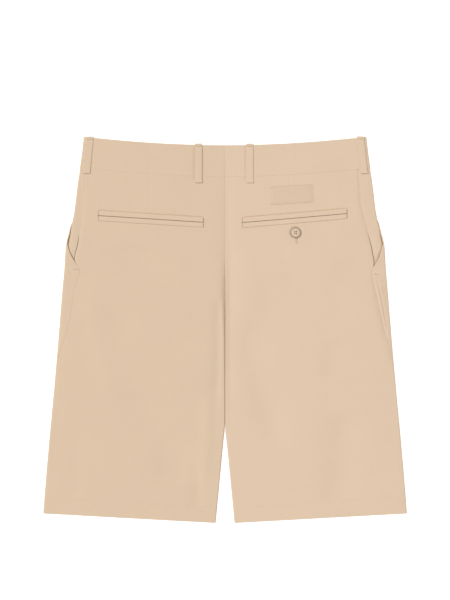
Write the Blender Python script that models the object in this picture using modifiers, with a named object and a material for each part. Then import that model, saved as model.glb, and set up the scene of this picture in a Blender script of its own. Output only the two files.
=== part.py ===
"""Knee-length chino shorts laid flat on their front, so that the back faces up.

Sizes are in millimetres and become metres where points are made. X runs across, Y from the hems up
to the waist, and Z up from the surface that the shorts lie on. Each half of the garment is a
flattened tube. A place on it is given by its height (Y) and its travel, the distance round the tube
from the outermost line of the side fold: below 0 on the back, which faces up, and above 0 on the
front, which lies underneath. Side is -1 for the half at -X and +1 for the half at +X.
"""

import math
from collections import namedtuple

import bmesh
import bpy

# Driving dimensions, in millimetres

MM = 0.001
GARMENT = "chino_shorts"

WAIST_CENTRE = 257.9
WAIST_SIDE_RISE = 11.9
WAIST_HALF_WIDTH = 197.4
WAIST_CURVE = 1.9
BAND_HEIGHT = 44.0
FRONT_DIP = 18.0
HEM_INNER_HEIGHT = -271.36
HEM_OUTER_HEIGHT = -257.36
HEM_HALF_WIDTH = 254.5
HEM_TURN_UP = 22.0

CROTCH_HEIGHT = 24.5
CREASE_TOP = 78.0
LEG_GAP_TOP = -133.0
LEG_GAP_SLOPE = 0.0945

FOLD_RADIUS = 3.25
QUARTER = FOLD_RADIUS * math.pi / 2
SEAM_GAP = 0.3
PANEL_WALL = 1.3
HEM_WALL = 2.0
BAND_WALL = 1.8
BEARER_WALL = 1.0
TRIM_WALL = 1.0

Width = namedtuple("Width", "height half_width")
OUTLINE = [
    Width(275, 197.4),
    Width(257, 199.2),
    Width(235, 202.0),
    Width(201, 207.0),
    Width(168, 211.0),
    Width(152, 214.0),
    Width(134, 219.6),
    Width(117, 222.8),
    Width(83, 225.2),
    Width(50, 228.2),
    Width(-17, 233.6),
    Width(-85, 239.5),
    Width(-152, 245.8),
    Width(-219, 251.6),
    Width(-257, HEM_HALF_WIDTH),
    Width(-280, 256.2),
]

# The side seam's distance from the centre line on each half, and how far round the tube the
# pocket's mouth runs ahead of it. Below the last row the seam lies on the fold itself.
Seam = namedtuple("Seam", "height left right left_mouth right_mouth")
SIDE_SEAM = [
    Seam(228, 196.5, 184.0, 54.0, 58.0),
    Seam(190, 198.7, 187.0, 37.0, 41.0),
    Seam(170, 199.9, 190.0, 27.0, 31.0),
    Seam(150, 201.3, 195.3, 17.0, 21.0),
    Seam(138, 203.4, 198.8, 13.0, 16.6),
    Seam(122, 205.6, 203.2, 13.0, 16.0),
    Seam(114, 207.2, 205.1, 11.0, 13.8),
    Seam(105, 209.5, 206.7, 5.0, 9.0),
    Seam(98, 210.0, 207.6, 1.0, 5.0),
    Seam(90, 206.8, 207.2, 0.0, 0.6),
    Seam(82, 203.2, 204.8, 0.0, 0.0),
    Seam(76, 204.6, 205.0, 0.0, 0.0),
    Seam(68, 207.6, 206.8, 0.0, 0.0),
    Seam(55, 210.8, 210.2, 0.0, 0.0),
    Seam(30, 214.2, 215.8, 0.0, 0.0),
    Seam(0, 220.6, 222.4, 0.0, 0.0),
    Seam(-20, 227.6, 229.0, 0.0, 0.0),
    Seam(-44, 233.8, 234.6, 0.0, 0.0),
]
SEAM_ON_FOLD = -62.0
BEARER_UNDER_MOUTH = 6.0
BEARER_DROP = 1.85
BEARER_RAMP = 12.0
BEARER_END = 90.0

# Soft troughs in the upper layer. Each runs from its top end to its low end, and width is the
# distance from its middle at which it has faded out.
Trough = namedtuple("Trough", "top_x top_y low_x low_y depth width")
TROUGHS = [
    Trough(0, 62, 0, 20, 1.7, 26),
    Trough(-17, 20, -20, -128, 1.0, 17),
    Trough(-32, -126, -43, -236, 0.9, 19),
    Trough(-146, -72, -112, -136, 0.9, 22),
    Trough(-112, -136, -78, -190, 1.0, 22),
    Trough(-160, 30, -168, -96, 0.6, 24),
    Trough(25, 6, 40, -54, 1.0, 18),
    Trough(40, -54, 60, -128, 1.2, 20),
    Trough(60, -128, 78, -172, 0.9, 20),
    Trough(143, -136, 149, -240, 0.9, 24),
]
TROUGH_END = 30.0
FOLD_FADE = 14.0

# Rows of the cloth, as drops below the waist seam at the side. They lie close where the side
# pocket's mouth bends, and at the turn-up of the hem.
ROW_DROPS = [0, 11, 22, 36, 50, 57, 64, 70, 76, 84, 92, 100, 108, 116, 124, 130, 136, 142, 148]
ROW_DROPS += [154, 164, 180, 202, 230, 260, 290, 320, 350, 380, 410, 436, 454, 461, 483]
BAND_ROWS = 3
BACK_COLUMNS = 18
FRONT_COLUMNS = [30, 60, 90, 104, 111.5, 124.5, 132, 151, 170, 188]
ARC_STEPS = 3
LEAST_COLUMN = 0.7

Loop = namedtuple("Loop", "name side top_distance low_distance over_top length")
BACK_LOOPS = [
    Loop("belt_loop_back_left", -1, 37.1, 37.1, 2.0, 55.6),
    Loop("belt_loop_back_right", 1, 34.6, 34.6, 2.0, 55.8),
    Loop("belt_loop_side_left", -1, 188.6, 194.0, 0.8, 51.4),
    Loop("belt_loop_side_right", 1, 189.2, 194.4, 1.0, 51.8),
]
LOOP_WIDTH = 11.5
LOOP_RADIUS = 1.15
LOOP_TAIL = 9.0
LOOP_ARCH = 0.4
FRONT_LOOP_DISTANCE = 118.0
FRONT_LOOP_LENGTH = 54.0
FRONT_LOOP_OVER_TOP = 1.0
FRONT_LOOP_WALL = 1.2
FRONT_LOOP_RAISE = FRONT_LOOP_WALL + SEAM_GAP
FRONT_LOOP_PLATEAU = 6.5
FRONT_LOOP_RAMP = 7.5

# Each back pocket's slit runs between two welts.
Pocket = namedtuple("Pocket", "name side inner outer inner_height outer_height")
BACK_POCKETS = [
    Pocket("left", -1, 30.0, 177.3, 149.9, 159.3),
    Pocket("right", 1, 24.0, 170.7, 149.5, 162.2),
]
WELT_WIDTH = 6.6
SLIT_WIDTH = 0.6

LABEL_X = 92.7
LABEL_Y = 188.8
LABEL_LENGTH = 61.6
LABEL_HEIGHT = 25.0
LABEL_TILT = math.radians(3.6)

BUTTON_X = 98.6
BUTTON_Y = 135.6
BUTTON_RADIUS = 7.7
BUTTON_HOLE_RADIUS = 0.85
BUTTON_HOLE_SPREAD = 1.6
BUTTON_SIDES = 32

FLY_LENGTH = 112.0
ZIP_WIDTH = 26.0
ZIP_WALL = 0.8
UNDERLAP_WIDTH = 44.0

# Colours are linear values of the cloth and trim in soft light.
CLOTH_COLOUR = (0.745, 0.571, 0.413, 1.0)
LABEL_COLOUR = (0.716, 0.541, 0.383, 1.0)
BUTTON_COLOUR = (0.640, 0.468, 0.319, 1.0)
ZIP_COLOUR = (0.600, 0.440, 0.310, 1.0)


def smooth(share):
    """0 below 0, 1 above 1, and an even S between."""
    share = min(max(share, 0.0), 1.0)
    return share * share * (3 - 2 * share)


def read_table(rows, height, column):
    """A column of a table at a height, on a smooth curve through the rows, which go down."""
    known = [getattr(row, column) for row in rows]
    tops = [row.height for row in rows]
    if height >= tops[0]:
        return known[0]
    if height <= tops[-1]:
        return known[-1]
    i = next(k for k in range(len(tops) - 1) if tops[k] >= height >= tops[k + 1])

    def slope(k):
        before, after = max(k - 1, 0), min(k + 1, len(tops) - 1)
        return (known[after] - known[before]) / (tops[after] - tops[before])

    span = tops[i + 1] - tops[i]
    t = (height - tops[i]) / span
    rise = known[i + 1] - known[i]
    bend_in = (slope(i) * span - rise) * t * (1 - t) ** 2
    bend_out = (rise - slope(i + 1) * span) * t * t * (1 - t)
    return known[i] + rise * t + bend_in + bend_out


# The shape of the whole garment


def half_width(height):
    return read_table(OUTLINE, height, "half_width")


def inner_edge(height):
    """The distance of the inner edge from the centre line: the seam's, then the gap between legs."""
    return SEAM_GAP / 2 + LEG_GAP_SLOPE * max(0.0, LEG_GAP_TOP - height)


def inner_turn(height):
    """How far the cloth turns down at the inner edge: not at all on the seat, fully on a leg."""
    return math.pi / 2 * smooth((CREASE_TOP - height) / (CREASE_TOP - CROTCH_HEIGHT))


def reach(height):
    """The travel of the inner edge."""
    turn = inner_turn(height)
    flat = half_width(height) - FOLD_RADIUS - inner_edge(height) - FOLD_RADIUS * math.sin(turn)
    return QUARTER + flat + FOLD_RADIUS * turn


def travel_at(height, distance):
    """The travel, without its sign, of a place that far from the centre line."""
    past_flat = distance - (half_width(height) - FOLD_RADIUS)
    if past_flat <= 0:
        return QUARTER - past_flat
    return FOLD_RADIUS * math.acos(min(past_flat / FOLD_RADIUS, 1.0))


def seam_travel(side, height):
    """The travel of the side seam, which runs onto the fold on the leg."""
    if height <= SEAM_ON_FOLD:
        return 0.0
    column = "left" if side < 0 else "right"
    on_table = -travel_at(height, read_table(SIDE_SEAM, height, column))
    lowest = SIDE_SEAM[-1].height
    return on_table * smooth((height - SEAM_ON_FOLD) / (lowest - SEAM_ON_FOLD))


def mouth_travel(side, height):
    """The travel of the front panel's side edge, which is the pocket's mouth on the hip."""
    column = "left_mouth" if side < 0 else "right_mouth"
    return seam_travel(side, height) + SEAM_GAP + read_table(SIDE_SEAM, height, column)


def trough_depth(side, distance, height):
    """How far the upper layer sinks here, from all troughs together."""
    x = side * distance
    total = 0.0
    for trough in TROUGHS:
        along_x, along_y = trough.low_x - trough.top_x, trough.low_y - trough.top_y
        length = math.hypot(along_x, along_y)
        off_x, off_y = x - trough.top_x, height - trough.top_y
        along = (off_x * along_x + off_y * along_y) / length
        across = abs(off_x * along_y - off_y * along_x) / length
        past_end = max(-along, along - length, 0.0)
        if across < trough.width and past_end < TROUGH_END:
            shape = math.cos(math.pi / 2 * across / trough.width) ** 2
            total += trough.depth * shape * (1 - smooth(past_end / TROUGH_END))
    outer_start = half_width(height) - FOLD_RADIUS
    on_leg = inner_turn(height) / (math.pi / 2)
    by_inner = smooth((distance - inner_edge(height)) / FOLD_FADE)
    return total * smooth((outer_start - distance) / FOLD_FADE) * (1 - on_leg * (1 - by_inner))


def front_raise(distance, height):
    """How far the front is lifted off the surface by the belt loop that it lies on."""
    off_loop = abs(distance - FRONT_LOOP_DISTANCE) - FRONT_LOOP_PLATEAU
    top = waist_line(distance) - front_dip(distance, height)
    below = (top - FRONT_LOOP_LENGTH) - height
    across = min(max(1 - off_loop / FRONT_LOOP_RAMP, 0.0), 1.0)
    down = min(max(1 - below / FRONT_LOOP_RAMP, 0.0), 1.0)
    return FRONT_LOOP_RAISE * across * down


def tube_place(side, height, travel, depth=0.0):
    """(distance from the centre line, Z) of a place, depth in from the cloth's outer face."""
    turn = inner_turn(height)
    outer_start = half_width(height) - FOLD_RADIUS
    inner_start = inner_edge(height) + FOLD_RADIUS * math.sin(turn)
    flat = outer_start - inner_start
    radius = FOLD_RADIUS - depth
    way = abs(travel)
    if way < QUARTER:
        angle = way / FOLD_RADIUS
        face = outer_start + FOLD_RADIUS * math.cos(angle)
        distance = outer_start + radius * math.cos(angle)
        lift = radius * math.sin(angle)
    elif way < QUARTER + flat:
        face = distance = outer_start - (way - QUARTER)
        lift = radius
    else:
        angle = min((way - QUARTER - flat) / FOLD_RADIUS, turn)
        face = inner_start - FOLD_RADIUS * math.sin(angle)
        distance = inner_start - radius * math.sin(angle)
        lift = radius * math.cos(angle)
    if travel <= 0:
        return distance, FOLD_RADIUS + lift - trough_depth(side, face, height)
    return distance, FOLD_RADIUS - lift + front_raise(face, height)


def waist_line(distance):
    """The height of the back's top edge."""
    return WAIST_CENTRE + WAIST_SIDE_RISE * (distance / WAIST_HALF_WIDTH) ** WAIST_CURVE


def hem_line(distance):
    rise = HEM_OUTER_HEIGHT - HEM_INNER_HEIGHT
    return HEM_INNER_HEIGHT + rise * distance / HEM_HALF_WIDTH


def front_dip(distance, height):
    """How much lower the waist runs on the front."""
    outer_start = half_width(height) - FOLD_RADIUS
    return FRONT_DIP * max(0.0, 1 - (distance / outer_start) ** 2)


def row_height(travel, distance, height, drop):
    """The height of a row of the legs' cloth, at a place across it."""
    top = waist_line(distance) - BAND_HEIGHT - SEAM_GAP / 2
    if travel > QUARTER:
        top -= front_dip(distance, height)
    share = drop / ROW_DROPS[-1]
    return top + (hem_line(distance) - top) * share


def band_height(travel, distance, height, drop):
    """The height of a row of the waistband, at a place across it."""
    top = waist_line(distance)
    if travel > QUARTER:
        top -= front_dip(distance, height)
    return top - drop


def all_travels(height):
    """The travel of every column round one half, from the inner edge of the back to the front's."""
    end = reach(height)
    travels = [-end + QUARTER * k / ARC_STEPS for k in range(ARC_STEPS)]
    first = -end + QUARTER
    travels += [first + (-QUARTER - first) * k / BACK_COLUMNS for k in range(BACK_COLUMNS)]
    travels += [QUARTER * k / ARC_STEPS for k in range(-ARC_STEPS, ARC_STEPS + 1)]
    travels += [travel_at(height, distance) for distance in reversed(FRONT_COLUMNS)]
    travels += [end - QUARTER * k / ARC_STEPS for k in reversed(range(ARC_STEPS + 1))]
    return travels


def held_between(travels, low, high):
    """Columns past an edge, or all but on it, come to lie on it."""
    held = []
    for travel in travels:
        if travel < low + LEAST_COLUMN:
            travel = low
        if travel > high - LEAST_COLUMN:
            travel = high
        held.append(travel)
    return held


def place_across(side, column, columns_of, row_of, drop, depth):
    """The point where a column meets a row. Each needs the other's place, so it closes in on it."""
    height = WAIST_CENTRE - BAND_HEIGHT - drop
    for _ in range(5):
        travel = columns_of(height)[column]
        distance = tube_place(side, height, travel)[0]
        height = row_of(travel, distance, height, drop)
    travel = columns_of(height)[column]
    deep = depth(travel, height) if callable(depth) else depth
    distance, z = tube_place(side, height, travel, deep)
    return side * distance, height, z


# Blender objects


def material(name, colour, roughness):
    made = bpy.data.materials.new(name)
    made.use_nodes = True
    shader = made.node_tree.nodes["Principled BSDF"]
    shader.inputs["Base Color"].default_value = colour
    shader.inputs["Roughness"].default_value = roughness
    shader.inputs["Metallic"].default_value = 0.0
    return made


def add_object(name, mesh, finish, collection, sharp=math.radians(35)):
    mesh.shade_smooth()
    mesh.set_sharp_from_angle(angle=sharp)
    mesh.materials.append(finish)
    made = bpy.data.objects.new(name, mesh)
    collection.objects.link(made)
    return made


def wall_from_grid(name, columns, rows, point, finish, collection):
    """A closed cloth wall: a grid, extruded into two faces. point(column, row, inner) places both."""
    bm = bmesh.new()
    bmesh.ops.create_grid(bm, x_segments=columns, y_segments=rows, size=1.0)
    outer_verts = list(bm.verts)
    extruded = bmesh.ops.extrude_face_region(bm, geom=bm.faces[:])["geom"]
    inner_verts = [item for item in extruded if isinstance(item, bmesh.types.BMVert)]
    for verts, inner in ((outer_verts, False), (inner_verts, True)):
        for vert in verts:
            column = round((vert.co.x + 1) / 2 * columns)
            row = round((vert.co.y + 1) / 2 * rows)
            vert.co = [size * MM for size in point(column, row, inner)]
    bmesh.ops.remove_doubles(bm, verts=bm.verts[:], dist=0.02 * MM)
    bmesh.ops.dissolve_limit(
        bm, angle_limit=math.radians(0.04), verts=bm.verts[:], edges=bm.edges[:]
    )
    bmesh.ops.triangulate(bm, faces=bm.faces[:])
    bmesh.ops.recalc_face_normals(bm, faces=bm.faces[:])
    mesh = bpy.data.meshes.new(name)
    bm.to_mesh(mesh)
    bm.free()
    return add_object(name, mesh, finish, collection)


# The cut pieces


def leg_wall(drop):
    """The cloth is doubled where the hem is turned up."""
    return HEM_WALL if drop >= ROW_DROPS[-1] - HEM_TURN_UP else PANEL_WALL


def leg_piece(name, side, edges, finish, collection):
    """A back or front panel, between two edges given as travels at a height."""

    def columns_of(height):
        return held_between(all_travels(height), *edges(height))

    def point(column, row, inner):
        drop = ROW_DROPS[len(ROW_DROPS) - 1 - row]
        depth = leg_wall(drop) if inner else 0.0
        return place_across(side, column, columns_of, row_height, drop, depth)

    count = len(all_travels(0.0))
    return wall_from_grid(name, count - 1, len(ROW_DROPS) - 1, point, finish, collection)


def back_panel(name, side, finish, collection):
    def edges(height):
        return -reach(height), seam_travel(side, height)

    return leg_piece(name, side, edges, finish, collection)


def front_panel(name, side, finish, collection):
    def edges(height):
        return mouth_travel(side, height), reach(height)

    return leg_piece(name, side, edges, finish, collection)


def waistband(name, side, finish, collection):
    """One half of the band, from the centre-back seam round the side to the front closure."""
    lowest = BAND_HEIGHT - SEAM_GAP / 2

    def point(column, row, inner):
        depth = BAND_WALL if inner else 0.0
        drop = lowest * (1 - row / BAND_ROWS)
        return place_across(side, column, all_travels, band_height, drop, depth)

    count = len(all_travels(WAIST_CENTRE))
    return wall_from_grid(name, count - 1, BAND_ROWS, point, finish, collection)


def pocket_bearer(name, side, finish, collection):
    """The cloth seen inside the side pocket's mouth: from the side seam to under the front."""
    side_seam_top = WAIST_CENTRE + WAIST_SIDE_RISE - BAND_HEIGHT
    drops = [drop for drop in ROW_DROPS if side_seam_top - drop > BEARER_END]

    def columns_of(height):
        low = seam_travel(side, height) + SEAM_GAP
        mouth = mouth_travel(side, height)
        high = mouth + BEARER_UNDER_MOUTH
        arcs = [QUARTER * k / ARC_STEPS for k in range(-ARC_STEPS, ARC_STEPS + 1)]
        near_mouth = [high, mouth, mouth - BEARER_RAMP / 2, mouth - BEARER_RAMP]
        return sorted(held_between([low, *arcs, *near_mouth], low, high))

    def sunk(travel, height):
        """How far below the outer face it lies: fully under the front, flush away from it."""
        open_part = mouth_travel(side, height) - travel
        return BEARER_DROP * (1 - smooth(open_part / BEARER_RAMP))

    def point(column, row, inner):
        def depth(travel, height):
            return sunk(travel, height) + (BEARER_WALL if inner else 0.0)

        drop = drops[len(drops) - 1 - row]
        return place_across(side, column, columns_of, row_height, drop, depth)

    count = len(columns_of(WAIST_CENTRE))
    return wall_from_grid(name, count - 1, len(drops) - 1, point, finish, collection)


# Trim that lies on the pieces


def on_back(side, distance, height, depth):
    """A point of the back at a distance from the centre line, moved out by a depth below 0."""
    travel = -travel_at(height, distance)
    across, z = tube_place(side, height, travel, depth)
    return side * across, height, z


def belt_loop(loop, finish, collection):
    """A strip with both ends folded under and sewn down, arched a little between them."""
    turn = LOOP_RADIUS * math.pi
    run = loop.length - 2 * LOOP_RADIUS
    arc_steps, run_steps = 4, 6
    ways = [0.0]
    ways += [LOOP_TAIL + turn * k / arc_steps for k in range(arc_steps + 1)]
    ways += [LOOP_TAIL + turn + run * k / run_steps for k in range(1, run_steps)]
    ways += [LOOP_TAIL + turn + run + turn * k / arc_steps for k in range(arc_steps + 1)]
    ways += [2 * (LOOP_TAIL + turn) + run]
    top = waist_line((loop.top_distance + loop.low_distance) / 2) + loop.over_top

    def profile(way, inset):
        """(distance below the loop's top, height over the band) along the strip's outer face."""
        radius = LOOP_RADIUS - inset
        middle = SEAM_GAP + LOOP_RADIUS
        if way < LOOP_TAIL:
            return LOOP_RADIUS + LOOP_TAIL - way, middle - radius
        if way <= LOOP_TAIL + turn:
            angle = (way - LOOP_TAIL) / LOOP_RADIUS
            return LOOP_RADIUS - radius * math.sin(angle), middle - radius * math.cos(angle)
        if way < LOOP_TAIL + turn + run:
            along = way - LOOP_TAIL - turn
            arch = LOOP_ARCH * math.sin(math.pi * along / run)
            return LOOP_RADIUS + along, middle + radius + arch
        if way <= LOOP_TAIL + 2 * turn + run:
            angle = (way - LOOP_TAIL - turn - run) / LOOP_RADIUS
            below = loop.length - LOOP_RADIUS + radius * math.sin(angle)
            return below, middle + radius * math.cos(angle)
        along = way - LOOP_TAIL - 2 * turn - run
        return loop.length - LOOP_RADIUS - along, middle - radius

    def point(column, row, inner):
        below, over = profile(ways[row], TRIM_WALL if inner else 0.0)
        share = below / loop.length
        middle = loop.top_distance + (loop.low_distance - loop.top_distance) * share
        distance = middle + (column - 1) * LOOP_WIDTH / 2
        return on_back(loop.side, distance, top - below, -over)

    return wall_from_grid(loop.name, 2, len(ways) - 1, point, finish, collection)


def front_belt_loop(name, side, finish, collection):
    """A loop under the front of the band, pressed flat against the surface."""
    top = waist_line(FRONT_LOOP_DISTANCE) - front_dip(FRONT_LOOP_DISTANCE, WAIST_CENTRE)

    def point(column, row, inner):
        distance = FRONT_LOOP_DISTANCE + (column - 0.5) * LOOP_WIDTH
        height = top + FRONT_LOOP_OVER_TOP - FRONT_LOOP_LENGTH * (1 - row)
        return side * distance, height, FRONT_LOOP_WALL if inner else 0.0

    return wall_from_grid(name, 1, 1, point, finish, collection)


def welt(pocket, upper, finish, collection):
    """One folded strip along a back pocket's slit."""
    steps = 8
    low = SLIT_WIDTH / 2 if upper else -SLIT_WIDTH / 2 - WELT_WIDTH

    def point(column, row, inner):
        share = column / steps
        distance = pocket.inner + (pocket.outer - pocket.inner) * share
        slit = pocket.inner_height + (pocket.outer_height - pocket.inner_height) * share
        depth = -SEAM_GAP if inner else -SEAM_GAP - TRIM_WALL
        return on_back(pocket.side, distance, slit + low + WELT_WIDTH * row, depth)

    name = f"welt_{pocket.name}_{'upper' if upper else 'lower'}"
    return wall_from_grid(name, steps, 1, point, finish, collection)


def seat_label(finish, collection):
    """A plain patch sewn to the right of the seat."""
    steps_long, steps_high = 6, 3

    def point(column, row, inner):
        along = (column / steps_long - 0.5) * LABEL_LENGTH
        up = (row / steps_high - 0.5) * LABEL_HEIGHT
        x = LABEL_X + along * math.cos(LABEL_TILT) - up * math.sin(LABEL_TILT)
        y = LABEL_Y + along * math.sin(LABEL_TILT) + up * math.cos(LABEL_TILT)
        return on_back(1, x, y, -SEAM_GAP if inner else -SEAM_GAP - TRIM_WALL)

    return wall_from_grid("seat_label", steps_long, steps_high, point, finish, collection)


def back_pocket_button(finish, collection, cutters):
    """A turned button with a raised rim, a dished middle and four holes."""
    radius = BUTTON_RADIUS
    outline = [
        (0.0, 2.0),
        (0.50 * radius, 2.0),
        (0.62 * radius, 2.3),
        (0.72 * radius, 2.8),
        (0.86 * radius, 3.0),
        (0.97 * radius, 2.6),
        (radius, 1.8),
        (0.93 * radius, 0.8),
        (0.70 * radius, 0.0),
        (0.0, 0.0),
    ]
    mesh = bpy.data.meshes.new("back_pocket_button")
    points = [(x * MM, 0.0, z * MM) for x, z in outline]
    mesh.from_pydata(points, [(k, k + 1) for k in range(len(points) - 1)], [])
    made = add_object("back_pocket_button", mesh, finish, collection)
    made.location = (BUTTON_X * MM, BUTTON_Y * MM, (2 * FOLD_RADIUS + SEAM_GAP) * MM)
    turned = made.modifiers.new("turned", "SCREW")
    turned.steps = BUTTON_SIDES
    turned.render_steps = BUTTON_SIDES
    turned.use_merge_vertices = True
    turned.merge_threshold = 0.0001
    for k in range(4):
        angle = math.pi / 4 + math.pi / 2 * k
        bm = bmesh.new()
        bmesh.ops.create_cone(
            bm,
            cap_ends=True,
            segments=12,
            radius1=BUTTON_HOLE_RADIUS * MM,
            radius2=BUTTON_HOLE_RADIUS * MM,
            depth=8 * MM,
        )
        hole = bpy.data.meshes.new(f"button_hole_{k}")
        bm.to_mesh(hole)
        bm.free()
        cutter = bpy.data.objects.new(f"button_hole_{k}", hole)
        cutter.location = (
            (BUTTON_X + BUTTON_HOLE_SPREAD * math.cos(angle)) * MM,
            (BUTTON_Y + BUTTON_HOLE_SPREAD * math.sin(angle)) * MM,
            2 * FOLD_RADIUS * MM,
        )
        cutter.hide_render = True
        cutter.display_type = "WIRE"
        cutters.objects.link(cutter)
        cut = made.modifiers.new(f"hole_{k}", "BOOLEAN")
        cut.object = cutter
        cut.operation = "DIFFERENCE"
        cut.solver = "EXACT"
    return made


def flat_strip(name, width, low, high, bottom, wall, finish, collection):
    """A strip on the centre line, between the layers."""

    def point(column, row, inner):
        return (column - 0.5) * width, low + (high - low) * row, bottom + (wall if inner else 0.0)

    return wall_from_grid(name, 1, 1, point, finish, collection)


def main():
    for old in list(bpy.data.objects):
        bpy.data.objects.remove(old)
    garment = bpy.data.collections.new(GARMENT)
    cutters = bpy.data.collections.new("cutters")
    bpy.context.scene.collection.children.link(garment)
    bpy.context.scene.collection.children.link(cutters)

    cloth = material("cotton_twill", CLOTH_COLOUR, 0.85)
    patch = material("label_twill", LABEL_COLOUR, 0.8)
    horn = material("button_resin", BUTTON_COLOUR, 0.4)
    tape = material("zip_tape", ZIP_COLOUR, 0.8)

    for side, word in ((-1, "left"), (1, "right")):
        back_panel(f"back_{word}", side, cloth, garment)
        front_panel(f"front_{word}", side, cloth, garment)
        waistband(f"waistband_{word}", side, cloth, garment)
        pocket_bearer(f"pocket_bearer_{word}", side, cloth, garment)
        front_belt_loop(f"belt_loop_front_{word}", side, cloth, garment)
    for loop in BACK_LOOPS:
        belt_loop(loop, cloth, garment)
    for pocket in BACK_POCKETS:
        for upper in (True, False):
            welt(pocket, upper, cloth, garment)
    seat_label(patch, garment)
    back_pocket_button(horn, garment, cutters)

    fly_top = WAIST_CENTRE - FRONT_DIP - BAND_HEIGHT
    zip_bottom = PANEL_WALL + SEAM_GAP
    underlap_bottom = zip_bottom + ZIP_WALL + SEAM_GAP
    flat_strip(
        "fly_zip",
        ZIP_WIDTH,
        fly_top - FLY_LENGTH,
        fly_top - 2.0,
        zip_bottom,
        ZIP_WALL,
        tape,
        garment,
    )
    flat_strip(
        "fly_underlap",
        UNDERLAP_WIDTH,
        fly_top - FLY_LENGTH - 4.0,
        fly_top + BAND_HEIGHT - 4.0,
        underlap_bottom,
        TRIM_WALL,
        cloth,
        garment,
    )


main()
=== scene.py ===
"""The looks of knee-length chino shorts, laid flat on their front with the back facing up.

Sizes are in millimetres and become metres where meshes are made. Each half of the garment is a
flattened tube. A place on it is a height (Y) and a travel, the distance round the tube from the
outermost line of the side fold: below 0 on the back and above 0 on the front. Arrays of places have
one column of the cloth to each first index, and one row to each second index.
"""

import math
from collections import namedtuple

import bmesh
import bpy
import numpy as np
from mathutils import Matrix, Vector


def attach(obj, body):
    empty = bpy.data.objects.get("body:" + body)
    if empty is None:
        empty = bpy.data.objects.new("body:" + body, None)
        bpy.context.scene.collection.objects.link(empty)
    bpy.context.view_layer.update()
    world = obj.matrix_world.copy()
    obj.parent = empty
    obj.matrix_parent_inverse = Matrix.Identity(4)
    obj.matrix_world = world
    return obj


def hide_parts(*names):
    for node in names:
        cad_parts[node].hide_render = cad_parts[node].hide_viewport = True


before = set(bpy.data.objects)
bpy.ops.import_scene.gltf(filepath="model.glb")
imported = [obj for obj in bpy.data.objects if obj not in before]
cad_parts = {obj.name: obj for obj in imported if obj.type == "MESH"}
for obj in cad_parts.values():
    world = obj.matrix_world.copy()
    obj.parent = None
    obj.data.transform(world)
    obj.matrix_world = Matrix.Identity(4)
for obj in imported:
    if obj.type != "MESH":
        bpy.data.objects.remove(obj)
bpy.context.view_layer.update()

# The garment's sizes, as in the solids

MM = 0.001
WAIST_CENTRE = 257.9
WAIST_SIDE_RISE = 11.9
WAIST_HALF_WIDTH = 197.4
WAIST_CURVE = 1.9
BAND_HEIGHT = 44.0
FRONT_DIP = 18.0
HEM_INNER_HEIGHT = -271.36
HEM_OUTER_HEIGHT = -257.36
HEM_HALF_WIDTH = 254.5
HEM_TURN_UP = 22.0
LEG_LENGTH = 483.0

CROTCH_HEIGHT = 24.5
CREASE_TOP = 78.0
LEG_GAP_TOP = -133.0
LEG_GAP_SLOPE = 0.0945

FOLD_RADIUS = 3.25
INNER_SAG = 1.5
SQUARENESS = 0.46
QUARTER = FOLD_RADIUS * math.pi / 2
SEAM_GAP = 0.04

Width = namedtuple("Width", "height half_width")
OUTLINE = [
    Width(275, 197.4),
    Width(257, 199.2),
    Width(235, 202.0),
    Width(201, 207.0),
    Width(168, 211.0),
    Width(152, 214.0),
    Width(134, 218.9),
    Width(117, 222.8),
    Width(83, 225.2),
    Width(50, 228.2),
    Width(-17, 233.6),
    Width(-85, 239.5),
    Width(-152, 245.8),
    Width(-219, 251.6),
    Width(-257, HEM_HALF_WIDTH),
    Width(-280, 256.2),
]

Seam = namedtuple("Seam", "height left right left_mouth right_mouth")
SIDE_SEAM = [
    Seam(228, 196.5, 184.0, 54.0, 58.0),
    Seam(190, 198.7, 187.0, 37.0, 41.0),
    Seam(170, 199.9, 190.0, 27.0, 31.0),
    Seam(150, 201.3, 195.3, 16.4, 21.0),
    Seam(138, 203.4, 198.8, 12.0, 17.0),
    Seam(122, 205.4, 203.2, 13.8, 16.4),
    Seam(114, 207.0, 205.1, 11.8, 14.2),
    Seam(105, 209.5, 206.7, 6.2, 10.0),
    Seam(98, 210.6, 207.9, 1.3, 6.2),
    Seam(90, 207.4, 208.0, 0.0, 0.7),
    Seam(82, 203.4, 205.2, 0.0, 0.0),
    Seam(76, 204.6, 205.2, 0.0, 0.0),
    Seam(68, 207.6, 206.8, 0.0, 0.0),
    Seam(55, 210.8, 210.2, 0.0, 0.0),
    Seam(30, 214.2, 216.0, 0.0, 0.0),
    Seam(0, 220.6, 222.6, 0.0, 0.0),
    Seam(-20, 227.6, 229.0, 0.0, 0.0),
    Seam(-44, 233.8, 234.6, 0.0, 0.0),
]
SEAM_ON_FOLD = -62.0
BEARER_UNDER_MOUTH = 6.0
BEARER_SINK = 0.4
BEARER_DROP = {-1: 2.0, 1: 1.6}
BEARER_END_SINK = {-1: 1.1, 1: 0.85}
BEARER_RAMP = 5.0
BEARER_LENGTH = 135.0
MOUTH_OPENS = 138.0
MOUTH_END = {-1: 96.0, 1: 90.0}
SLIT_OPENS = 0.4
SIDE_POCKET_TACKS = [((-211.6, 84.6), (-203.4, 84.2)), ((208.4, 77.4), (214.6, 76.8))]

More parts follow.
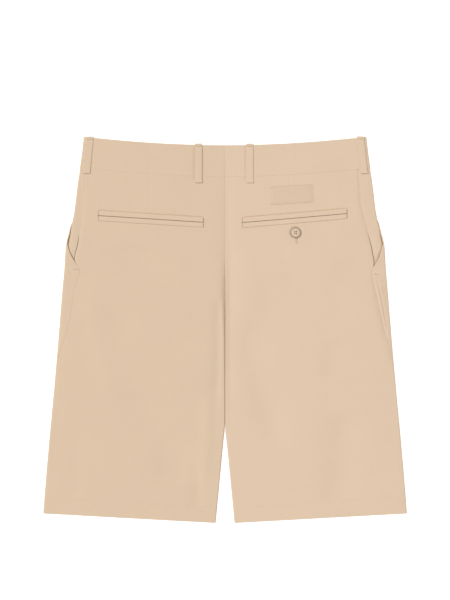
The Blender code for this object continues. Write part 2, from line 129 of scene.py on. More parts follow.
Loop = namedtuple("Loop", "name side top_distance low_distance over_top length")
BACK_LOOPS = [
    Loop("belt_loop_back_left", -1, 37.1, 37.1, 1.8, 54.8),
    Loop("belt_loop_back_right", 1, 34.6, 34.6, 1.8, 55.0),
    Loop("belt_loop_side_left", -1, 188.6, 194.0, 0.8, 51.4),
    Loop("belt_loop_side_right", 1, 189.2, 194.4, 1.0, 51.8),
]
FRONT_LOOP_LENGTH = 54.0
LOOP_WIDTH = 10.5
LOOP_RADIUS = 0.46
LOOP_TURN = LOOP_RADIUS * math.pi
LOOP_TAIL = 9.0
LOOP_SEWN = 3.6
LOOP_LINE = 3.8
LOOP_TACK_COUNT = 20
LOOP_ARCH = 0.05
FRONT_LOOP_DISTANCE = 118.0
FRONT_LOOP_RAISE = 1.5
FRONT_LOOP_PLATEAU = 6.5
FRONT_LOOP_RAMP = 7.5

Pocket = namedtuple("Pocket", "name side inner outer inner_height outer_height bow")
BACK_POCKETS = [
    Pocket("left", -1, 30.0, 177.3, 149.9, 159.3, 0.0),
    Pocket("right", 1, 24.0, 170.7, 149.5, 162.2, -0.2),
]
WELT_WIDTH = 6.8
WELT_SEAM_ABOVE = WELT_WIDTH + 0.6
WELT_SEAM_BELOW = -WELT_WIDTH - 0.8
SLIT_WIDTH = 0.7

# The sunk lines of a back pocket: the slit, and the seams along the two welts
Line = namedtuple("Line", "above depth width")
POCKET_LINES = [
    Line(0.0, 1.5, 1.6),
    Line(WELT_SEAM_ABOVE, 0.75, 1.3),
    Line(WELT_SEAM_BELOW, 0.5, 1.5),
]

Dart = namedtuple("Dart", "side distance top low")
DARTS = [
    Dart(-1, 105.7, 213.0, 163.0),
    Dart(1, 90.6, 213.0, 162.0),
]

# Faint upright marks on the waistband: distance from the middle, and length from the top
BAND_MARK = {-1: (105.7, 22.0), 1: (86.0, 30.0)}

LABEL_X = 92.7
LABEL_Y = 188.8
LABEL_LENGTH = 61.6
LABEL_HEIGHT = 25.0
LABEL_TILT = math.radians(3.6)

BUTTON_X = 98.6
BUTTON_Y = 135.6
BUTTON_RADIUS = 7.7
BUTTON_PRESSED = 0.6
HOLE_RADIUS = 0.95
HOLE_DISTANCE = 1.75
THREAD_DISTANCE = 1.24

# The button's turned outline, from the middle of its face round its edge to the middle of its
# underside: share of the radius, and height
BUTTON_OUTLINE = [
    (0.0, 1.90), (0.34, 1.90), (0.46, 1.88), (0.53, 1.80), (0.59, 1.62), (0.64, 1.46),
    (0.69, 1.44), (0.75, 1.66), (0.81, 1.78), (0.87, 1.76), (0.94, 1.52), (1.0, 1.15),
    (0.99, 0.85), (0.93, 0.5), (0.80, 0.2), (0.70, 0.1), (0.0, 0.1),
]
# Its painted shading, as share of the radius and lightness: painted shade darkens the turn of the
# dome and the edge, and a painted highlight lightens the ring on the dome's shoulder
BUTTON_PAINTED_SHADING = [
    (0.0, 0.92), (0.40, 0.94), (0.52, 1.0), (0.60, 0.98),
    (0.67, 0.82), (0.74, 0.70), (0.86, 0.60), (1.0, 0.50),
]
BUTTONHOLE_LOW = 121.6
BUTTONHOLE_HIGH = 141.0

FLY_TOP = WAIST_CENTRE - FRONT_DIP - BAND_HEIGHT
FLY_LENGTH = 112.0
FLY_TURN = 46.0
FLY_STITCH_DISTANCE = 37.0
FLY_STITCH_DEPTH = 0.3
UNDERLAP_TOP = 235.5
UNDERLAP_LENGTH = 154.0
UNDERLAP_WIDTH = 43.0
ZIP_TOP = 193.5
ZIP_LENGTH = 109.0
ZIP_WIDTH = 25.6
ZIP_FACE = 1.95
HEM_PITCH = 6.4

# The cloth as it is dressed

PANEL_CLOTH = 0.9
BAND_CLOTH = 1.6
BEARER_CLOTH = 0.8
HEM_CLOTH = 1.5
LOOP_CLOTH = 0.4
FRONT_LOOP_CLOTH = 1.15
UNDERLAP_CLOTH = 0.6
ZIP_CLOTH = 0.4
LABEL_CLOTH = 0.7
LABEL_RAISED = 0.05
LABEL_SEWN_IN = 0.42
WELT_CLOTH = 0.9
WELT_RAISED = 0.62
BUTTON_RAISED = 0.25
DEEPEST_INNER = 3.0
WAIST_ROLL_WIDTH = 0.6
WAIST_ROLL_DEPTH = 0.14
BACK_WAIST_ROLL = {-1: 0.12, 1: 0.2}
HEM_EDGE = 0.7
TRIM_EDGE = 0.5
LOOP_EDGE = 0.55
DART_DEPTH = 0.3
PRESSED_BY_LOOP = 0.95
TACK_PITCH = 4.4
SEAM_ROLL_WIDTH = 0.7
SEAM_ROLL_DEPTH = 0.2
SEAM_STEPS = [0.0, 0.08, 0.2, 0.38, 0.62, 0.95, 1.4, 1.9, 2.5]
EDGE_STEPS = [0, 0.1, 0.25, 0.5, 0.9]

# Where the columns are dense: round from a fold's line, beside a dart, and out to a pocket's end
ROUND_FOLD = 5.6
ROUND_DART = 3.2
POCKET_COLUMNS_END = 176.0

# Soft folds in the upper layer: the line of each, from its top end to its low end, how far it
# sinks (below 0 for a ridge), and how wide it is to the left and right of its line.
Fold = namedtuple("Fold", "line depth left right")
BACK_FOLDS = [
    Fold([(2, 250), (3, 150), (4, 70), (4, -20), (2, -140)], 0.8, 12, 9),
    Fold([(-9, 56), (-9, 0), (-10, -60), (-13, -120)], 1.2, 9, 4),
    Fold([(-24, -84), (-25, -140), (-28, -190), (-34, -226)], -0.9, 9, 8),
    Fold([(-37, -186), (-40, -256)], 0.9, 10, 8),
    Fold([(-160, 60), (-150, 0), (-136, -70), (-118, -120)], 0.65, 24, 32),
    Fold([(-130, -78), (-106, -118), (-82, -160), (-72, -226)], 2.0, 25, 36),
    Fold([(-186, 76), (-182, 20), (-166, -60), (-150, -104)], -1.1, 16, 24),
    Fold([(30, 128), (30, 60), (31, -10)], -0.9, 15, 20),
    Fold([(28, 20), (40, -30), (50, -70), (64, -127), (84, -186)], 1.8, 20, 26),
    Fold([(148, -14), (150, -74)], 0.8, 14, 18),
    Fold([(171, -106), (164, -180), (156, -256)], 1.9, 22, 30),
    Fold([(76, 110), (90, 92), (106, 82)], 0.5, 5, 5),
    Fold([(86, 78), (99, 66), (114, 58)], 0.45, 6, 5),
    Fold([(58, 242), (76, 233), (104, 224)], 0.35, 5, 5),
    Fold([(-128, 124), (-112, 92), (-88, 60)], 1.1, 30, 26),
    Fold([(-204, -130), (-208, -190), (-214, -250)], 0.6, 13, 12),
    Fold([(205.5, 82), (214, 41), (223.5, 0), (230, -24)], 0.7, 4.2, 1.6),
    Fold([(211.5, 76), (220, 40), (228, -6)], 0.5, 1.8, 1.2),
    Fold([(226, 86), (230, 41), (235, 0), (240, -40), (244, -74)], 1.7, 10, 8),
]

# The crease at the centre, where the seat folds in: how deep it is, how wide to the left, how much
# deeper the right side lies along it, and how high the pressed seam stands beside that
Crease = namedtuple("Crease", "height depth left slot ridge")
CREASE = [
    Crease(140, 0.0, 12, 0.0, 0.0),
    Crease(112, 0.4, 12, 0.1, 0.2),
    Crease(84, 1.2, 10, 0.5, 0.7),
    Crease(66, 2.1, 8.5, 1.2, 0.9),
    Crease(40, 2.6, 7.0, 1.6, 1.1),
    Crease(16, 2.1, 4.6, 1.5, 0.9),
    Crease(-14, 1.2, 3.0, 1.2, 0.8),
    Crease(-80, 0.5, 1.6, 0.9, 0.7),
    Crease(-118, 0.3, 1.2, 0.8, 0.5),
    Crease(-150, 0.0, 1.2, 0.0, 0.0),
]
CREASE_WALL = 0.7
FRONT_FOLDS = [
    Fold([(-30, 60), (-70, 30), (-120, 14)], 0.6, 14, 12),
    Fold([(26, 66), (60, 34), (108, 10)], 0.7, 12, 14),
    Fold([(-120, -20), (-126, -110), (-130, -220)], 0.7, 22, 20),
    Fold([(124, -10), (130, -120), (134, -214)], 0.6, 20, 22),
    Fold([(-180, 60), (-196, -10), (-204, -90)], 0.5, 16, 16),
    Fold([(176, 40), (190, -40), (204, -120)], 0.5, 16, 16),
    Fold([(-44, -90), (-60, -150), (-64, -210)], 0.5, 14, 14),
    Fold([(52, -60), (58, -120), (70, -190)], 0.4, 14, 14),
]
FOLD_FADE = 7.0
FOLD_END = 0.22

# The folds reach the edge of the right leg between these heights
STRIP_TOP = 84.0
STRIP_LOW = -76.0


# Shape of the whole garment


def smooth(share):
    share = np.clip(share, 0.0, 1.0)
    return share * share * (3 - 2 * share)


def window(place, high, low, high_fade, low_fade):
    """1 between two places, fading to 0 at each of them."""
    return smooth((high - place) / high_fade) * smooth((place - low) / low_fade)


def curve(heights, known):
    """A smooth curve through known values, given from the top down, to read at any heights."""
    heights = np.array(heights[::-1], float)
    known = np.array(known[::-1], float)
    before = np.maximum(np.arange(len(known)) - 1, 0)
    after = np.minimum(np.arange(len(known)) + 1, len(known) - 1)
    slopes = (known[after] - known[before]) / (heights[after] - heights[before])

    def read(height):
        height = np.clip(height, heights[0], heights[-1])
        i = np.clip(np.searchsorted(heights, height) - 1, 0, len(known) - 2)
        span = heights[i + 1] - heights[i]
        t = (height - heights[i]) / span
        rise = known[i + 1] - known[i]
        bend_in = (slopes[i] * span - rise) * t * (1 - t) ** 2
        bend_out = (rise - slopes[i + 1] * span) * t * t * (1 - t)
        return known[i] + rise * t + bend_in + bend_out

    return read


def curve_through(rows, column):
    return curve([row.height for row in rows], [getattr(row, column) for row in rows])


half_width = curve_through(OUTLINE, "half_width")
crease_depth, crease_left, crease_slot, crease_ridge = (
    curve_through(CREASE, column) for column in ("depth", "left", "slot", "ridge")
)
SEAM_AT = {-1: curve_through(SIDE_SEAM, "left"), 1: curve_through(SIDE_SEAM, "right")}
MOUTH_AT = {
    -1: curve_through(SIDE_SEAM, "left_mouth"),
    1: curve_through(SIDE_SEAM, "right_mouth"),
}


def squared(share):
    """The sine or cosine of an angle round a fold, changed so that the fold's corners are squarer."""
    return np.clip(share, 0.0, 1.0) ** SQUARENESS


def inner_edge(height):
    return SEAM_GAP / 2 + LEG_GAP_SLOPE * np.maximum(0.0, LEG_GAP_TOP - height)


def inner_turn(height):
    return math.pi / 2 * smooth((CREASE_TOP - height) / (CREASE_TOP - CROTCH_HEIGHT))


def reach(height):
    turn = inner_turn(height)
    inner = inner_edge(height) + FOLD_RADIUS * squared(np.sin(turn))
    flat = half_width(height) - FOLD_RADIUS - inner
    return QUARTER + flat + FOLD_RADIUS * turn


def travel_at(height, distance):
    past_flat = distance - (half_width(height) - FOLD_RADIUS)
    share = np.clip(past_flat / FOLD_RADIUS, 0.0, 1.0) ** (1 / SQUARENESS)
    on_arc = FOLD_RADIUS * np.arccos(share)
    return np.where(past_flat <= 0, QUARTER - past_flat, on_arc)


def seam_travel(side, height):
    on_table = -travel_at(height, SEAM_AT[side](height))
    lowest = SIDE_SEAM[-1].height
    return on_table * smooth((height - SEAM_ON_FOLD) / (lowest - SEAM_ON_FOLD))


def mouth_travel(side, height):
    return seam_travel(side, height) + SEAM_GAP + MOUTH_AT[side](height)


def waist_line(distance):
    return WAIST_CENTRE + WAIST_SIDE_RISE * (distance / WAIST_HALF_WIDTH) ** WAIST_CURVE


def hem_line(distance):
    rise = HEM_OUTER_HEIGHT - HEM_INNER_HEIGHT
    return HEM_INNER_HEIGHT + rise * distance / HEM_HALF_WIDTH


def front_dip(distance, height):
    outer_start = half_width(height) - FOLD_RADIUS
    return FRONT_DIP * np.maximum(0.0, 1 - (distance / outer_start) ** 2)


def row_height(travel, distance, height, drop):
    top = waist_line(distance) - BAND_HEIGHT - SEAM_GAP / 2
    top = top - np.where(travel > QUARTER, front_dip(distance, height), 0.0)
    return top + (hem_line(distance) - top) * drop / LEG_LENGTH


def band_height(travel, distance, height, drop):
    top = waist_line(distance)
    return top - np.where(travel > QUARTER, front_dip(distance, height), 0.0) - drop


# Relief of the cloth


def bell(offset, width):
    """1 on a line, fading away on both sides over about the width."""
    return np.exp(-((offset / width) ** 2))


def fold_depth(x, y, folds):
    """How deep the soft folds are at each place, with both ends of each one faded out."""
    x, y = np.broadcast_arrays(x, y)
    total = np.zeros(x.shape)
    for fold in folds:
        top, low = fold.line[0][1], fold.line[-1][1]
        near = (y < top) & (y > low)
        if not near.any():
            continue
        line = curve([place[1] for place in fold.line], [place[0] for place in fold.line])
        height = y[near]
        lean = line(height + 0.5) - line(height - 0.5)
        offset = (x[near] - line(height)) / np.hypot(lean, 1.0)
        width = np.where(offset < 0, fold.left, fold.right)
        share = (top - height) / (top - low)
        total[near] += fold.depth * bell(offset, width) * window(share, 1, 0, FOLD_END, FOLD_END)
    return total


def slit_height(pocket, distance):
    """The height of a back pocket's slit at a distance from the centre line."""
    share = (distance - pocket.inner) / (pocket.outer - pocket.inner)
    straight = pocket.inner_height + (pocket.outer_height - pocket.inner_height) * share
    return straight + pocket.bow * 4 * share * (1 - share)


def groove(offset, width):
    """1 on the line of a groove, 0 from the width on."""
    return np.maximum(0.0, 1 - np.abs(offset) / width) ** 1.5


def waves(x, y, rows):
    """Slight unevenness, from waves that run at angles to each other."""
    total = 0.0
    for length, angle, size, start in rows:
        along = x * math.cos(angle) + y * math.sin(angle)
        total = total + size * np.sin(2 * math.pi * along / length + start)
    return total


UNEVEN = [
    (173.0, 0.4, 0.16, 0.3),
    (121.0, 1.7, 0.12, 1.9),
    (83.0, 2.6, 0.07, 4.1),
    (57.0, 0.9, 0.035, 2.2),
    (38.0, 2.1, 0.018, 5.0),
]


def soft_relief(x, y):
    """The upper layer's folds and unevenness alone, which what is sewn onto it follows."""
    return fold_depth(x, y, BACK_FOLDS) + waves(x, y, UNEVEN)


def centre_relief(x, y):
    """The crease at the centre, with the pull of the seam's tacking and the ridge left of it."""
    to_left = np.clip(1 + x / crease_left(y), 0, 1) ** 2.2
    wall = 1.6 * smooth((90 - y) / 40) - 0.7
    to_right = 1 - smooth((x - wall) / CREASE_WALL)
    right = (crease_depth(y) + crease_slot(y)) * to_right - crease_ridge(y) * bell(x - 1.3, 3.4)
    tacked = bell(x + 5, 4.5) * window(y, 222, 108, 6, 12)
    pulls = 0.18 * tacked * np.sin((y - 0.8 * x) * 2 * math.pi / TACK_PITCH)
    ridge = 0.14 * bell(x + 4.5, 3) * smooth((y - 60) / 30)
    return np.where(x < 0, crease_depth(y) * to_left, right) + pulls - ridge


def pocket_relief(x, y, pocket):
    """A back pocket's slit, the seams along its welts, and the pull at its inner end."""
    distance = pocket.side * x
    within = window(distance, pocket.outer + 1, pocket.inner - 1, 1.4, 1.4)
    above = y - slit_height(pocket, distance)
    sunk = sum(line.depth * groove(above - line.above, line.width) for line in POCKET_LINES)
    pull = bell(above, 12) * bell(distance - pocket.inner, 9)
    return sunk * within - 0.12 * pull * np.sin(above * 1.3)


def back_relief(x, y):
    """How far the upper layer sinks below its plane."""
    total = soft_relief(x, y) + centre_relief(x, y)
    for loop in BACK_LOOPS[:2]:
        beside = loop.side * loop.top_distance - LOOP_WIDTH / 2 - x
        pressed = smooth(1 - beside / 1.1) * np.where(beside > -1.5, 1.0, 0.0)
        total = total + PRESSED_BY_LOOP * pressed * smooth((y - 206) / 6)
    for pocket in BACK_POCKETS:
        total = total + pocket_relief(x, y, pocket)
    off_button = np.hypot(x - BUTTON_X, y - BUTTON_Y) - BUTTON_RADIUS
    total = total + BUTTON_PRESSED * smooth(1 - off_button / 1.9)
    for dart in DARTS:
        off = dart.side * x - dart.distance
        relief = DART_DEPTH * groove(off, 1.3) - 0.06 * bell(off - dart.side * 2.5, 5)
        total = total + relief * smooth((y - dart.low) / 30)
    return total


def front_relief(x, y):
    """How far the lower layer lifts off the surface. It lies on two belt loops."""
    distance = np.abs(x)
    loop_low = waist_line(distance) - front_dip(distance, y) - FRONT_LOOP_LENGTH
    off_loop = np.abs(distance - FRONT_LOOP_DISTANCE) - FRONT_LOOP_PLATEAU
    across = smooth(1 - off_loop / FRONT_LOOP_RAMP)
    down = smooth(1 - (loop_low - y) / FRONT_LOOP_RAMP)
    on_fly = window(y, FLY_TOP, FLY_TOP - FLY_LENGTH - 2, 1, 2)
    left = np.where(x < 0, on_fly, 0.0)
    stitched = FLY_STITCH_DEPTH * groove(distance - fly_stitch_distance(y), 1.1) * left
    return 0.12 + fold_depth(x, y, FRONT_FOLDS) + FRONT_LOOP_RAISE * across * down + stitched


def fly_stitch_distance(y):
    """The fly's curved line of stitching: straight down, then round to the centre seam."""
    share = np.clip((y - FLY_TOP + FLY_LENGTH) / FLY_TURN, 0.0, 1.0)
    return FLY_STITCH_DISTANCE * np.sqrt(1 - (1 - share) ** 2) + 0.6


def tube_place(side, height, travel, depth, relief=True):
    """Points (x, y, z), with depth in from the cloth's outer face."""
    turn = inner_turn(height)
    outer_start = half_width(height) - FOLD_RADIUS
    inner_start = inner_edge(height) + FOLD_RADIUS * squared(np.sin(turn))
    flat = outer_start - inner_start
    way, back = np.abs(travel), travel <= 0
    outer_angle = np.minimum(way / FOLD_RADIUS, math.pi / 2)
    inner_angle = np.clip((way - QUARTER - flat) / FOLD_RADIUS, 0.0, turn)
    on_outer, on_inner = way < QUARTER, way > QUARTER + flat

    def distance_at(radius):
        outward = outer_start + radius * squared(np.cos(outer_angle))
        inward = inner_start - radius * squared(np.sin(inner_angle))
        distance = np.where(on_outer, outward, outer_start - (way - QUARTER))
        return np.where(on_inner, inward, distance)

    rise = np.where(on_outer, squared(np.sin(outer_angle)), 1.0)
    rise = np.where(on_inner, squared(np.cos(inner_angle)), rise)
    radius = FOLD_RADIUS - depth
    z = FOLD_RADIUS + np.where(back, radius * rise, -radius * rise)
    z = z - np.where(on_inner, INNER_SAG * (1 - rise), 0.0)
    if relief:
        face = distance_at(FOLD_RADIUS)
        fade = smooth((outer_start + 2 - face) / FOLD_FADE)
        if side > 0:
            fade = np.maximum(fade, window(height, STRIP_TOP, STRIP_LOW, 16, 40) * back)
        sunk, raised = back_relief(side * face, height), front_relief(side * face, height)
        z = z + np.where(back, -sunk, raised) * fade * rise
    distance = distance_at(radius)
    return stacked(side * distance, height + 0 * distance, z)


# Meshes


def stacked(*parts):
    return np.stack(parts, axis=-1)


def grid(first, second):
    return np.meshgrid(first, second, indexing="ij")


def edged(length, near, inset, count):
    """Places along a length: close together near both ends, and evenly spaced from an inset on."""
    near = np.array(near)
    return np.concatenate([near, np.linspace(inset, length - inset, count), length - near[::-1]])


def shell(name, outer, inner, grain, finish):
    """A closed cloth shell from two grids of points, with a rim where they part."""
    count = outer[..., 0].size
    points = np.concatenate([outer.reshape(-1, 3), inner.reshape(-1, 3)]) * MM
    index = np.arange(count).reshape(outer.shape[:2])
    quad = stacked(index[:-1, :-1], index[1:, :-1], index[1:, 1:], index[:-1, 1:]).reshape(-1, 4)
    quads = [quad, quad[:, ::-1] + count]
    for rim in (index[:, 0], index[-1, :], index[::-1, -1], index[0, ::-1]):
        quads.append(stacked(rim[1:], rim[:-1], rim[:-1] + count, rim[1:] + count))
    quads = np.concatenate(quads)
    mesh = bpy.data.meshes.new(name)
    mesh.from_pydata(points.tolist(), [], quads.tolist())
    both = np.concatenate([grain.reshape(-1, 2), grain.reshape(-1, 2)]) * MM
    mesh.uv_layers.new(name="grain").data.foreach_set("uv", both[quads.ravel()].ravel())
    bm = bmesh.new()
    bm.from_mesh(mesh)
    return add_piece(name, cleaned(bm, mesh, 0.02), finish)


def put_in_scene(name, data, place=(0, 0, 0)):
    made = bpy.data.objects.new(name, data)
    made.location = place
    bpy.context.scene.collection.objects.link(made)
    return made


def add_piece(name, mesh, finish, sharp=math.radians(60)):
    mesh.shade_smooth()
    mesh.set_sharp_from_angle(angle=sharp)
    mesh.materials.append(finish)
    return put_in_scene(name, mesh)


def cleaned(bm, mesh, weld):
    """Welds the bmesh's points, turns its faces out and writes it to the mesh."""
    bmesh.ops.remove_doubles(bm, verts=bm.verts[:], dist=weld * MM)
    bmesh.ops.recalc_face_normals(bm, faces=bm.faces[:])
    bm.to_mesh(mesh)
    bm.free()
    return mesh


def tube_shell(name, side, height, travel, sunk, thick, edge, finish, deepest=2.0, turned=False):
    """A shell on the flattened tube, with its outer face sunk and both faces drawn in at an edge."""
    outer = tube_place(side, height, travel, np.minimum(sunk + edge, deepest))
    inner = tube_place(side, height, travel, np.minimum(sunk + thick - edge, DEEPEST_INNER))
    grain = stacked(height, side * travel) if turned else stacked(side * travel, height)
    return shell(name, outer, inner, grain, finish)


def steps(*spans):
    """Offsets along an edge: each span is (to, count), after a start at 0."""
    made = [0.0]
    for to, count in spans:
        made += list(np.linspace(made[-1], to, count + 1)[1:])
    return np.array(made)


def rolled(off, width=SEAM_ROLL_WIDTH, depth=SEAM_ROLL_DEPTH):
    """How far a rounded edge's face draws in, at a distance off the edge."""
    inside = np.clip(1 - off / width, 0.0, 1.0)
    return depth * (1 - np.sqrt(1 - inside**2))


def opened(side, height):
    """How far the side pocket's seam stands open, from 0 at the waist to 1 by the mouth's end."""
    return window(height, MOUTH_OPENS, MOUTH_END[side] - 3, 18, 5)


def seam_valley(height, off):
    """The soft hollow along the side seam, above the end of the side pocket's mouth."""
    return 0.42 * bell(off, 2.8) * window(height, 212, 92, 50, 10)


def crease_roll(height, off):
    """How far the centre seam's edges roll into the crease, and the inner leg seams' edges."""
    along = window(height, 86, -150, 36, 24)
    return along * (0.35 + 0.65 * smooth((height + 60) / 60)) * rolled(off, 1.1, 0.7)


# Rows of the legs' cloth, close together at the waist seam, the back pockets and the hem. The
# pocket's own rows are distances above its slit, which has the row POCKET_DROP.
POCKET_DROP = 64.0
POCKET_ROWS = np.concatenate(
    [
        np.arange(-30.0, -9.5, 1.1),
        WELT_SEAM_BELOW + np.array([-1.5, -1.1, -0.75, -0.35, 0, 0.35, 0.75, 1.1, 1.5]),
        np.arange(-5.4, -1.8, 0.8),
        np.linspace(-1.6, 1.6, 9),
        np.arange(2.4, 6.0, 0.8),
        WELT_SEAM_ABOVE + np.array([-1.3, -1.0, -0.7, -0.35, 0, 0.35, 0.7, 1.0, 1.3]),
        np.arange(9.6, 18.0, 1.3),
    ]
)


def leg_rows(*rows, hem_pitch):
    """A leg's rows in order, with those at its two edges and along its hem's turn-up."""
    hem = np.arange(LEG_LENGTH - 25.5, LEG_LENGTH - 2.4, hem_pitch)
    return np.unique(np.concatenate([SEAM_STEPS, *rows, hem, LEG_LENGTH - np.array(SEAM_STEPS)]))


LEG_ROWS = leg_rows(
    np.arange(4.4, 46, 2.1),
    POCKET_DROP - POCKET_ROWS,
    np.arange(95.4, LEG_LENGTH - 26, 2.1),
    hem_pitch=1.1,
)
FRONT_ROWS = leg_rows(np.arange(4.5, LEG_LENGTH - 26, 2.4), hem_pitch=1.2)
BAND_ROWS = steps((0.9, 6), (3.0, 5), (BAND_HEIGHT - 2.4, 18), (BAND_HEIGHT - SEAM_GAP / 2, 8))


def columns_between(low, high, anchors, steps_after=8):
    """Column travels as a function of height. Anchors are (function of height, steps up to it)."""

    def columns(height):
        found = [low(height) + off for off in SEAM_STEPS]
        ends = [*anchors, (lambda h: high(h) - SEAM_STEPS[-1], steps_after)]
        last = found[-1]
        for stop, count in ends:
            target = np.maximum(stop(height), last)
            target = np.minimum(target, high(height) - SEAM_STEPS[-1])
            found += [last + (target - last) * k / count for k in range(1, count + 1)]
            last = target
        found += [high(height) - off for off in reversed(SEAM_STEPS[:-1])]
        return found

    return columns


def place_grid(side, columns, row_of, drops, start=WAIST_CENTRE - BAND_HEIGHT):
    """Heights and travels of a grid of cloth, in arrays with a column to each first index."""
    count = len(columns(np.zeros(1)))
    drop = np.broadcast_to(drops[None, :], (count, len(drops)))
    height = start - drop
    for _ in range(6):
        found = columns(height)
        travel = np.stack([found[k][k] for k in range(count)])
        distance = np.abs(tube_place(side, height, travel, 0.0, relief=False)[..., 0])
        height = row_of(travel, distance, height, drop)
    return height, travel, drop


def back_row_height(side):
    """The heights of a back panel's rows. Near its pocket they run along the slit."""
    pocket = next(p for p in BACK_POCKETS if p.side == side)

    def row_of(travel, distance, height, drop):
        beside = np.clip(distance, pocket.inner - 3, pocket.outer + 3)
        off_slit = slit_height(pocket, beside) - row_height(travel, beside, height, POCKET_DROP)
        near = window(drop, 150, 8, 54, 38)
        return row_height(travel, distance, height, drop) + off_slit * near

    return row_of


def panel_thickness(off_hem):
    return PANEL_CLOTH + (HEM_CLOTH - PANEL_CLOTH) * smooth(HEM_TURN_UP - off_hem)


def hem_lines(side, travel, off_hem):
    """The relief at the hem: the turn-up's end shows as a faint step, more here and less there."""
    here = 0.55 + 0.45 * np.sin(travel / 9.0 + side) * np.sin(travel / 23.0 + 1.0)
    return 0.16 * here * groove(off_hem - HEM_TURN_UP, 1.5)


def back_panel(side, word, finish):
    def low(height):
        return -reach(height)

    def high(height):
        return seam_travel(side, height)

    def at(distance):
        return lambda height: -travel_at(height, distance)

    dart = next(d for d in DARTS if d.side == side)
    anchors = [
        (lambda height: low(height) + ROUND_FOLD, 12),
        (at(dart.distance - ROUND_DART), 42),
        (at(dart.distance + ROUND_DART), 11),
        (at(POCKET_COLUMNS_END), 34),
        (lambda height: high(height) - ROUND_FOLD, 24),
    ]
    columns = columns_between(low, high, anchors)
    height, travel, drop = place_grid(side, columns, back_row_height(side), LEG_ROWS)
    off_inner, off_seam = travel - low(height), high(height) - travel
    off_hem = LEG_LENGTH - drop
    sunk = rolled(off_inner) + crease_roll(height, off_inner)
    sunk += rolled(drop, WAIST_ROLL_WIDTH, BACK_WAIST_ROLL[side])
    sunk += rolled(off_seam) + opened(side, height) * rolled(off_seam, 1.0, 1.0)
    tail = bell(height - MOUTH_END[side] + 8, 6)
    sunk += seam_valley(height, off_seam) + 0.4 * tail * rolled(off_seam, 1.2, 0.6)
    sunk += hem_lines(side, travel, off_hem)
    thick = panel_thickness(off_hem)
    edge = rolled(off_hem, HEM_EDGE, thick / 2)
    return tube_shell(f"cloth_back_{word}", side, height, travel, sunk, thick, edge, finish)


def front_panel(side, word, finish):
    def low(height):
        return mouth_travel(side, height)

    anchors = [
        (lambda height: 0 * height - ROUND_FOLD, 22),
        (lambda height: 0 * height + ROUND_FOLD, 16),
        (lambda height: reach(height) - FLY_STITCH_DISTANCE - 5.0, 74),
        (lambda height: reach(height) - FLY_STITCH_DISTANCE + 4.0, 12),
        (lambda height: reach(height) - ROUND_FOLD, 12),
    ]
    columns = columns_between(low, reach, anchors)
    height, travel, drop = place_grid(side, columns, row_height, FRONT_ROWS)
    off_mouth, off_inner = travel - low(height), reach(height) - travel
    off_hem = LEG_LENGTH - drop
    mouth = smooth((height - MOUTH_END[side] + 4) / 8)
    sunk = rolled(off_inner) + rolled(drop, WAIST_ROLL_WIDTH, WAIST_ROLL_DEPTH)
    sunk += (1 - mouth) * rolled(off_mouth) + hem_lines(side, travel, off_hem)
    sunk -= 0.45 * mouth * smooth((QUARTER - travel) / 4) * bell(off_mouth, 5)
    thick = panel_thickness(off_hem) + 0.35 * mouth * smooth((9 - off_mouth) / 4)
    edge = rolled(off_hem, HEM_EDGE, 1) + mouth * rolled(off_mouth, HEM_EDGE, 1)
    edge = np.minimum(edge, 1) * thick / 2
    return tube_shell(f"cloth_front_{word}", side, height, travel, sunk, thick, edge, finish)


def waistband(side, word, finish):
    def low(height):
        return -reach(height)

    anchors = [
        (lambda height: 0 * height - ROUND_FOLD, 84),
        (lambda height: 0 * height + ROUND_FOLD, 16),
    ]
    columns = columns_between(low, reach, anchors, 70)
    height, travel, drop = place_grid(side, columns, band_height, BAND_ROWS, WAIST_CENTRE)
    sunk = rolled(travel - low(height)) + rolled(reach(height) - travel)
    sunk += rolled(BAND_HEIGHT - drop, WAIST_ROLL_WIDTH, WAIST_ROLL_DEPTH)
    distance, mark_length = BAND_MARK[side]
    at_mark = np.abs(travel) - (QUARTER + half_width(height) - FOLD_RADIUS - distance)
    sunk += 0.2 * groove(at_mark, 1.2) * smooth((mark_length - drop) / 8) * (travel < 0)
    edge = rolled(drop, 0.8, BAND_CLOTH / 2)
    name = f"cloth_waistband_{word}"
    return tube_shell(name, side, height, travel, sunk, BAND_CLOTH, edge, finish, turned=True)


def pocket_bearer(side, word, finish):
    def low(height):
        return seam_travel(side, height) + SEAM_GAP + SLIT_OPENS * opened(side, height)

    def high(height):
        return mouth_travel(side, height) + BEARER_UNDER_MOUTH

    anchors = [
        (lambda height: np.maximum(-ROUND_FOLD, low(height) + 2.5), 16),
        (lambda height: np.minimum(ROUND_FOLD, high(height) - 2.5), 14),
    ]
    columns = columns_between(low, high, anchors, 30)
    drops = np.concatenate([SEAM_STEPS, np.arange(3.6, BEARER_LENGTH, 1.3)])
    height, travel, drop = place_grid(side, columns, row_height, drops)
    off_seam, off_mouth = travel - low(height), mouth_travel(side, height) - travel
    sunk = rolled(off_seam) + opened(side, height) * rolled(off_seam, 1.5, 1.3)
    sunk += rolled(drop, WAIST_ROLL_WIDTH, WAIST_ROLL_DEPTH) + seam_valley(height, off_seam)
    dropped = 0.35 + 0.65 * window(height, MOUTH_OPENS, 88, 10, 16)
    at_end = BEARER_END_SINK[side] * smooth((112 - height) / 16)
    sunk += (BEARER_SINK + at_end) * smooth(off_seam / 2)
    sunk += dropped * rolled(off_mouth, BEARER_RAMP, BEARER_DROP[side])
    sunk = np.maximum(sunk, 1.5 * smooth((0.5 - off_mouth) / 0.8))
    pulls = np.sin(height / 3.1 + off_mouth / 5) * smooth(off_seam / 6) * opened(side, height)
    sunk += 0.14 * pulls
    name = f"cloth_pocket_bearer_{word}"
    return tube_shell(name, side, height, travel, sunk, BEARER_CLOTH, 0.0, finish, deepest=2.6)


# Trim


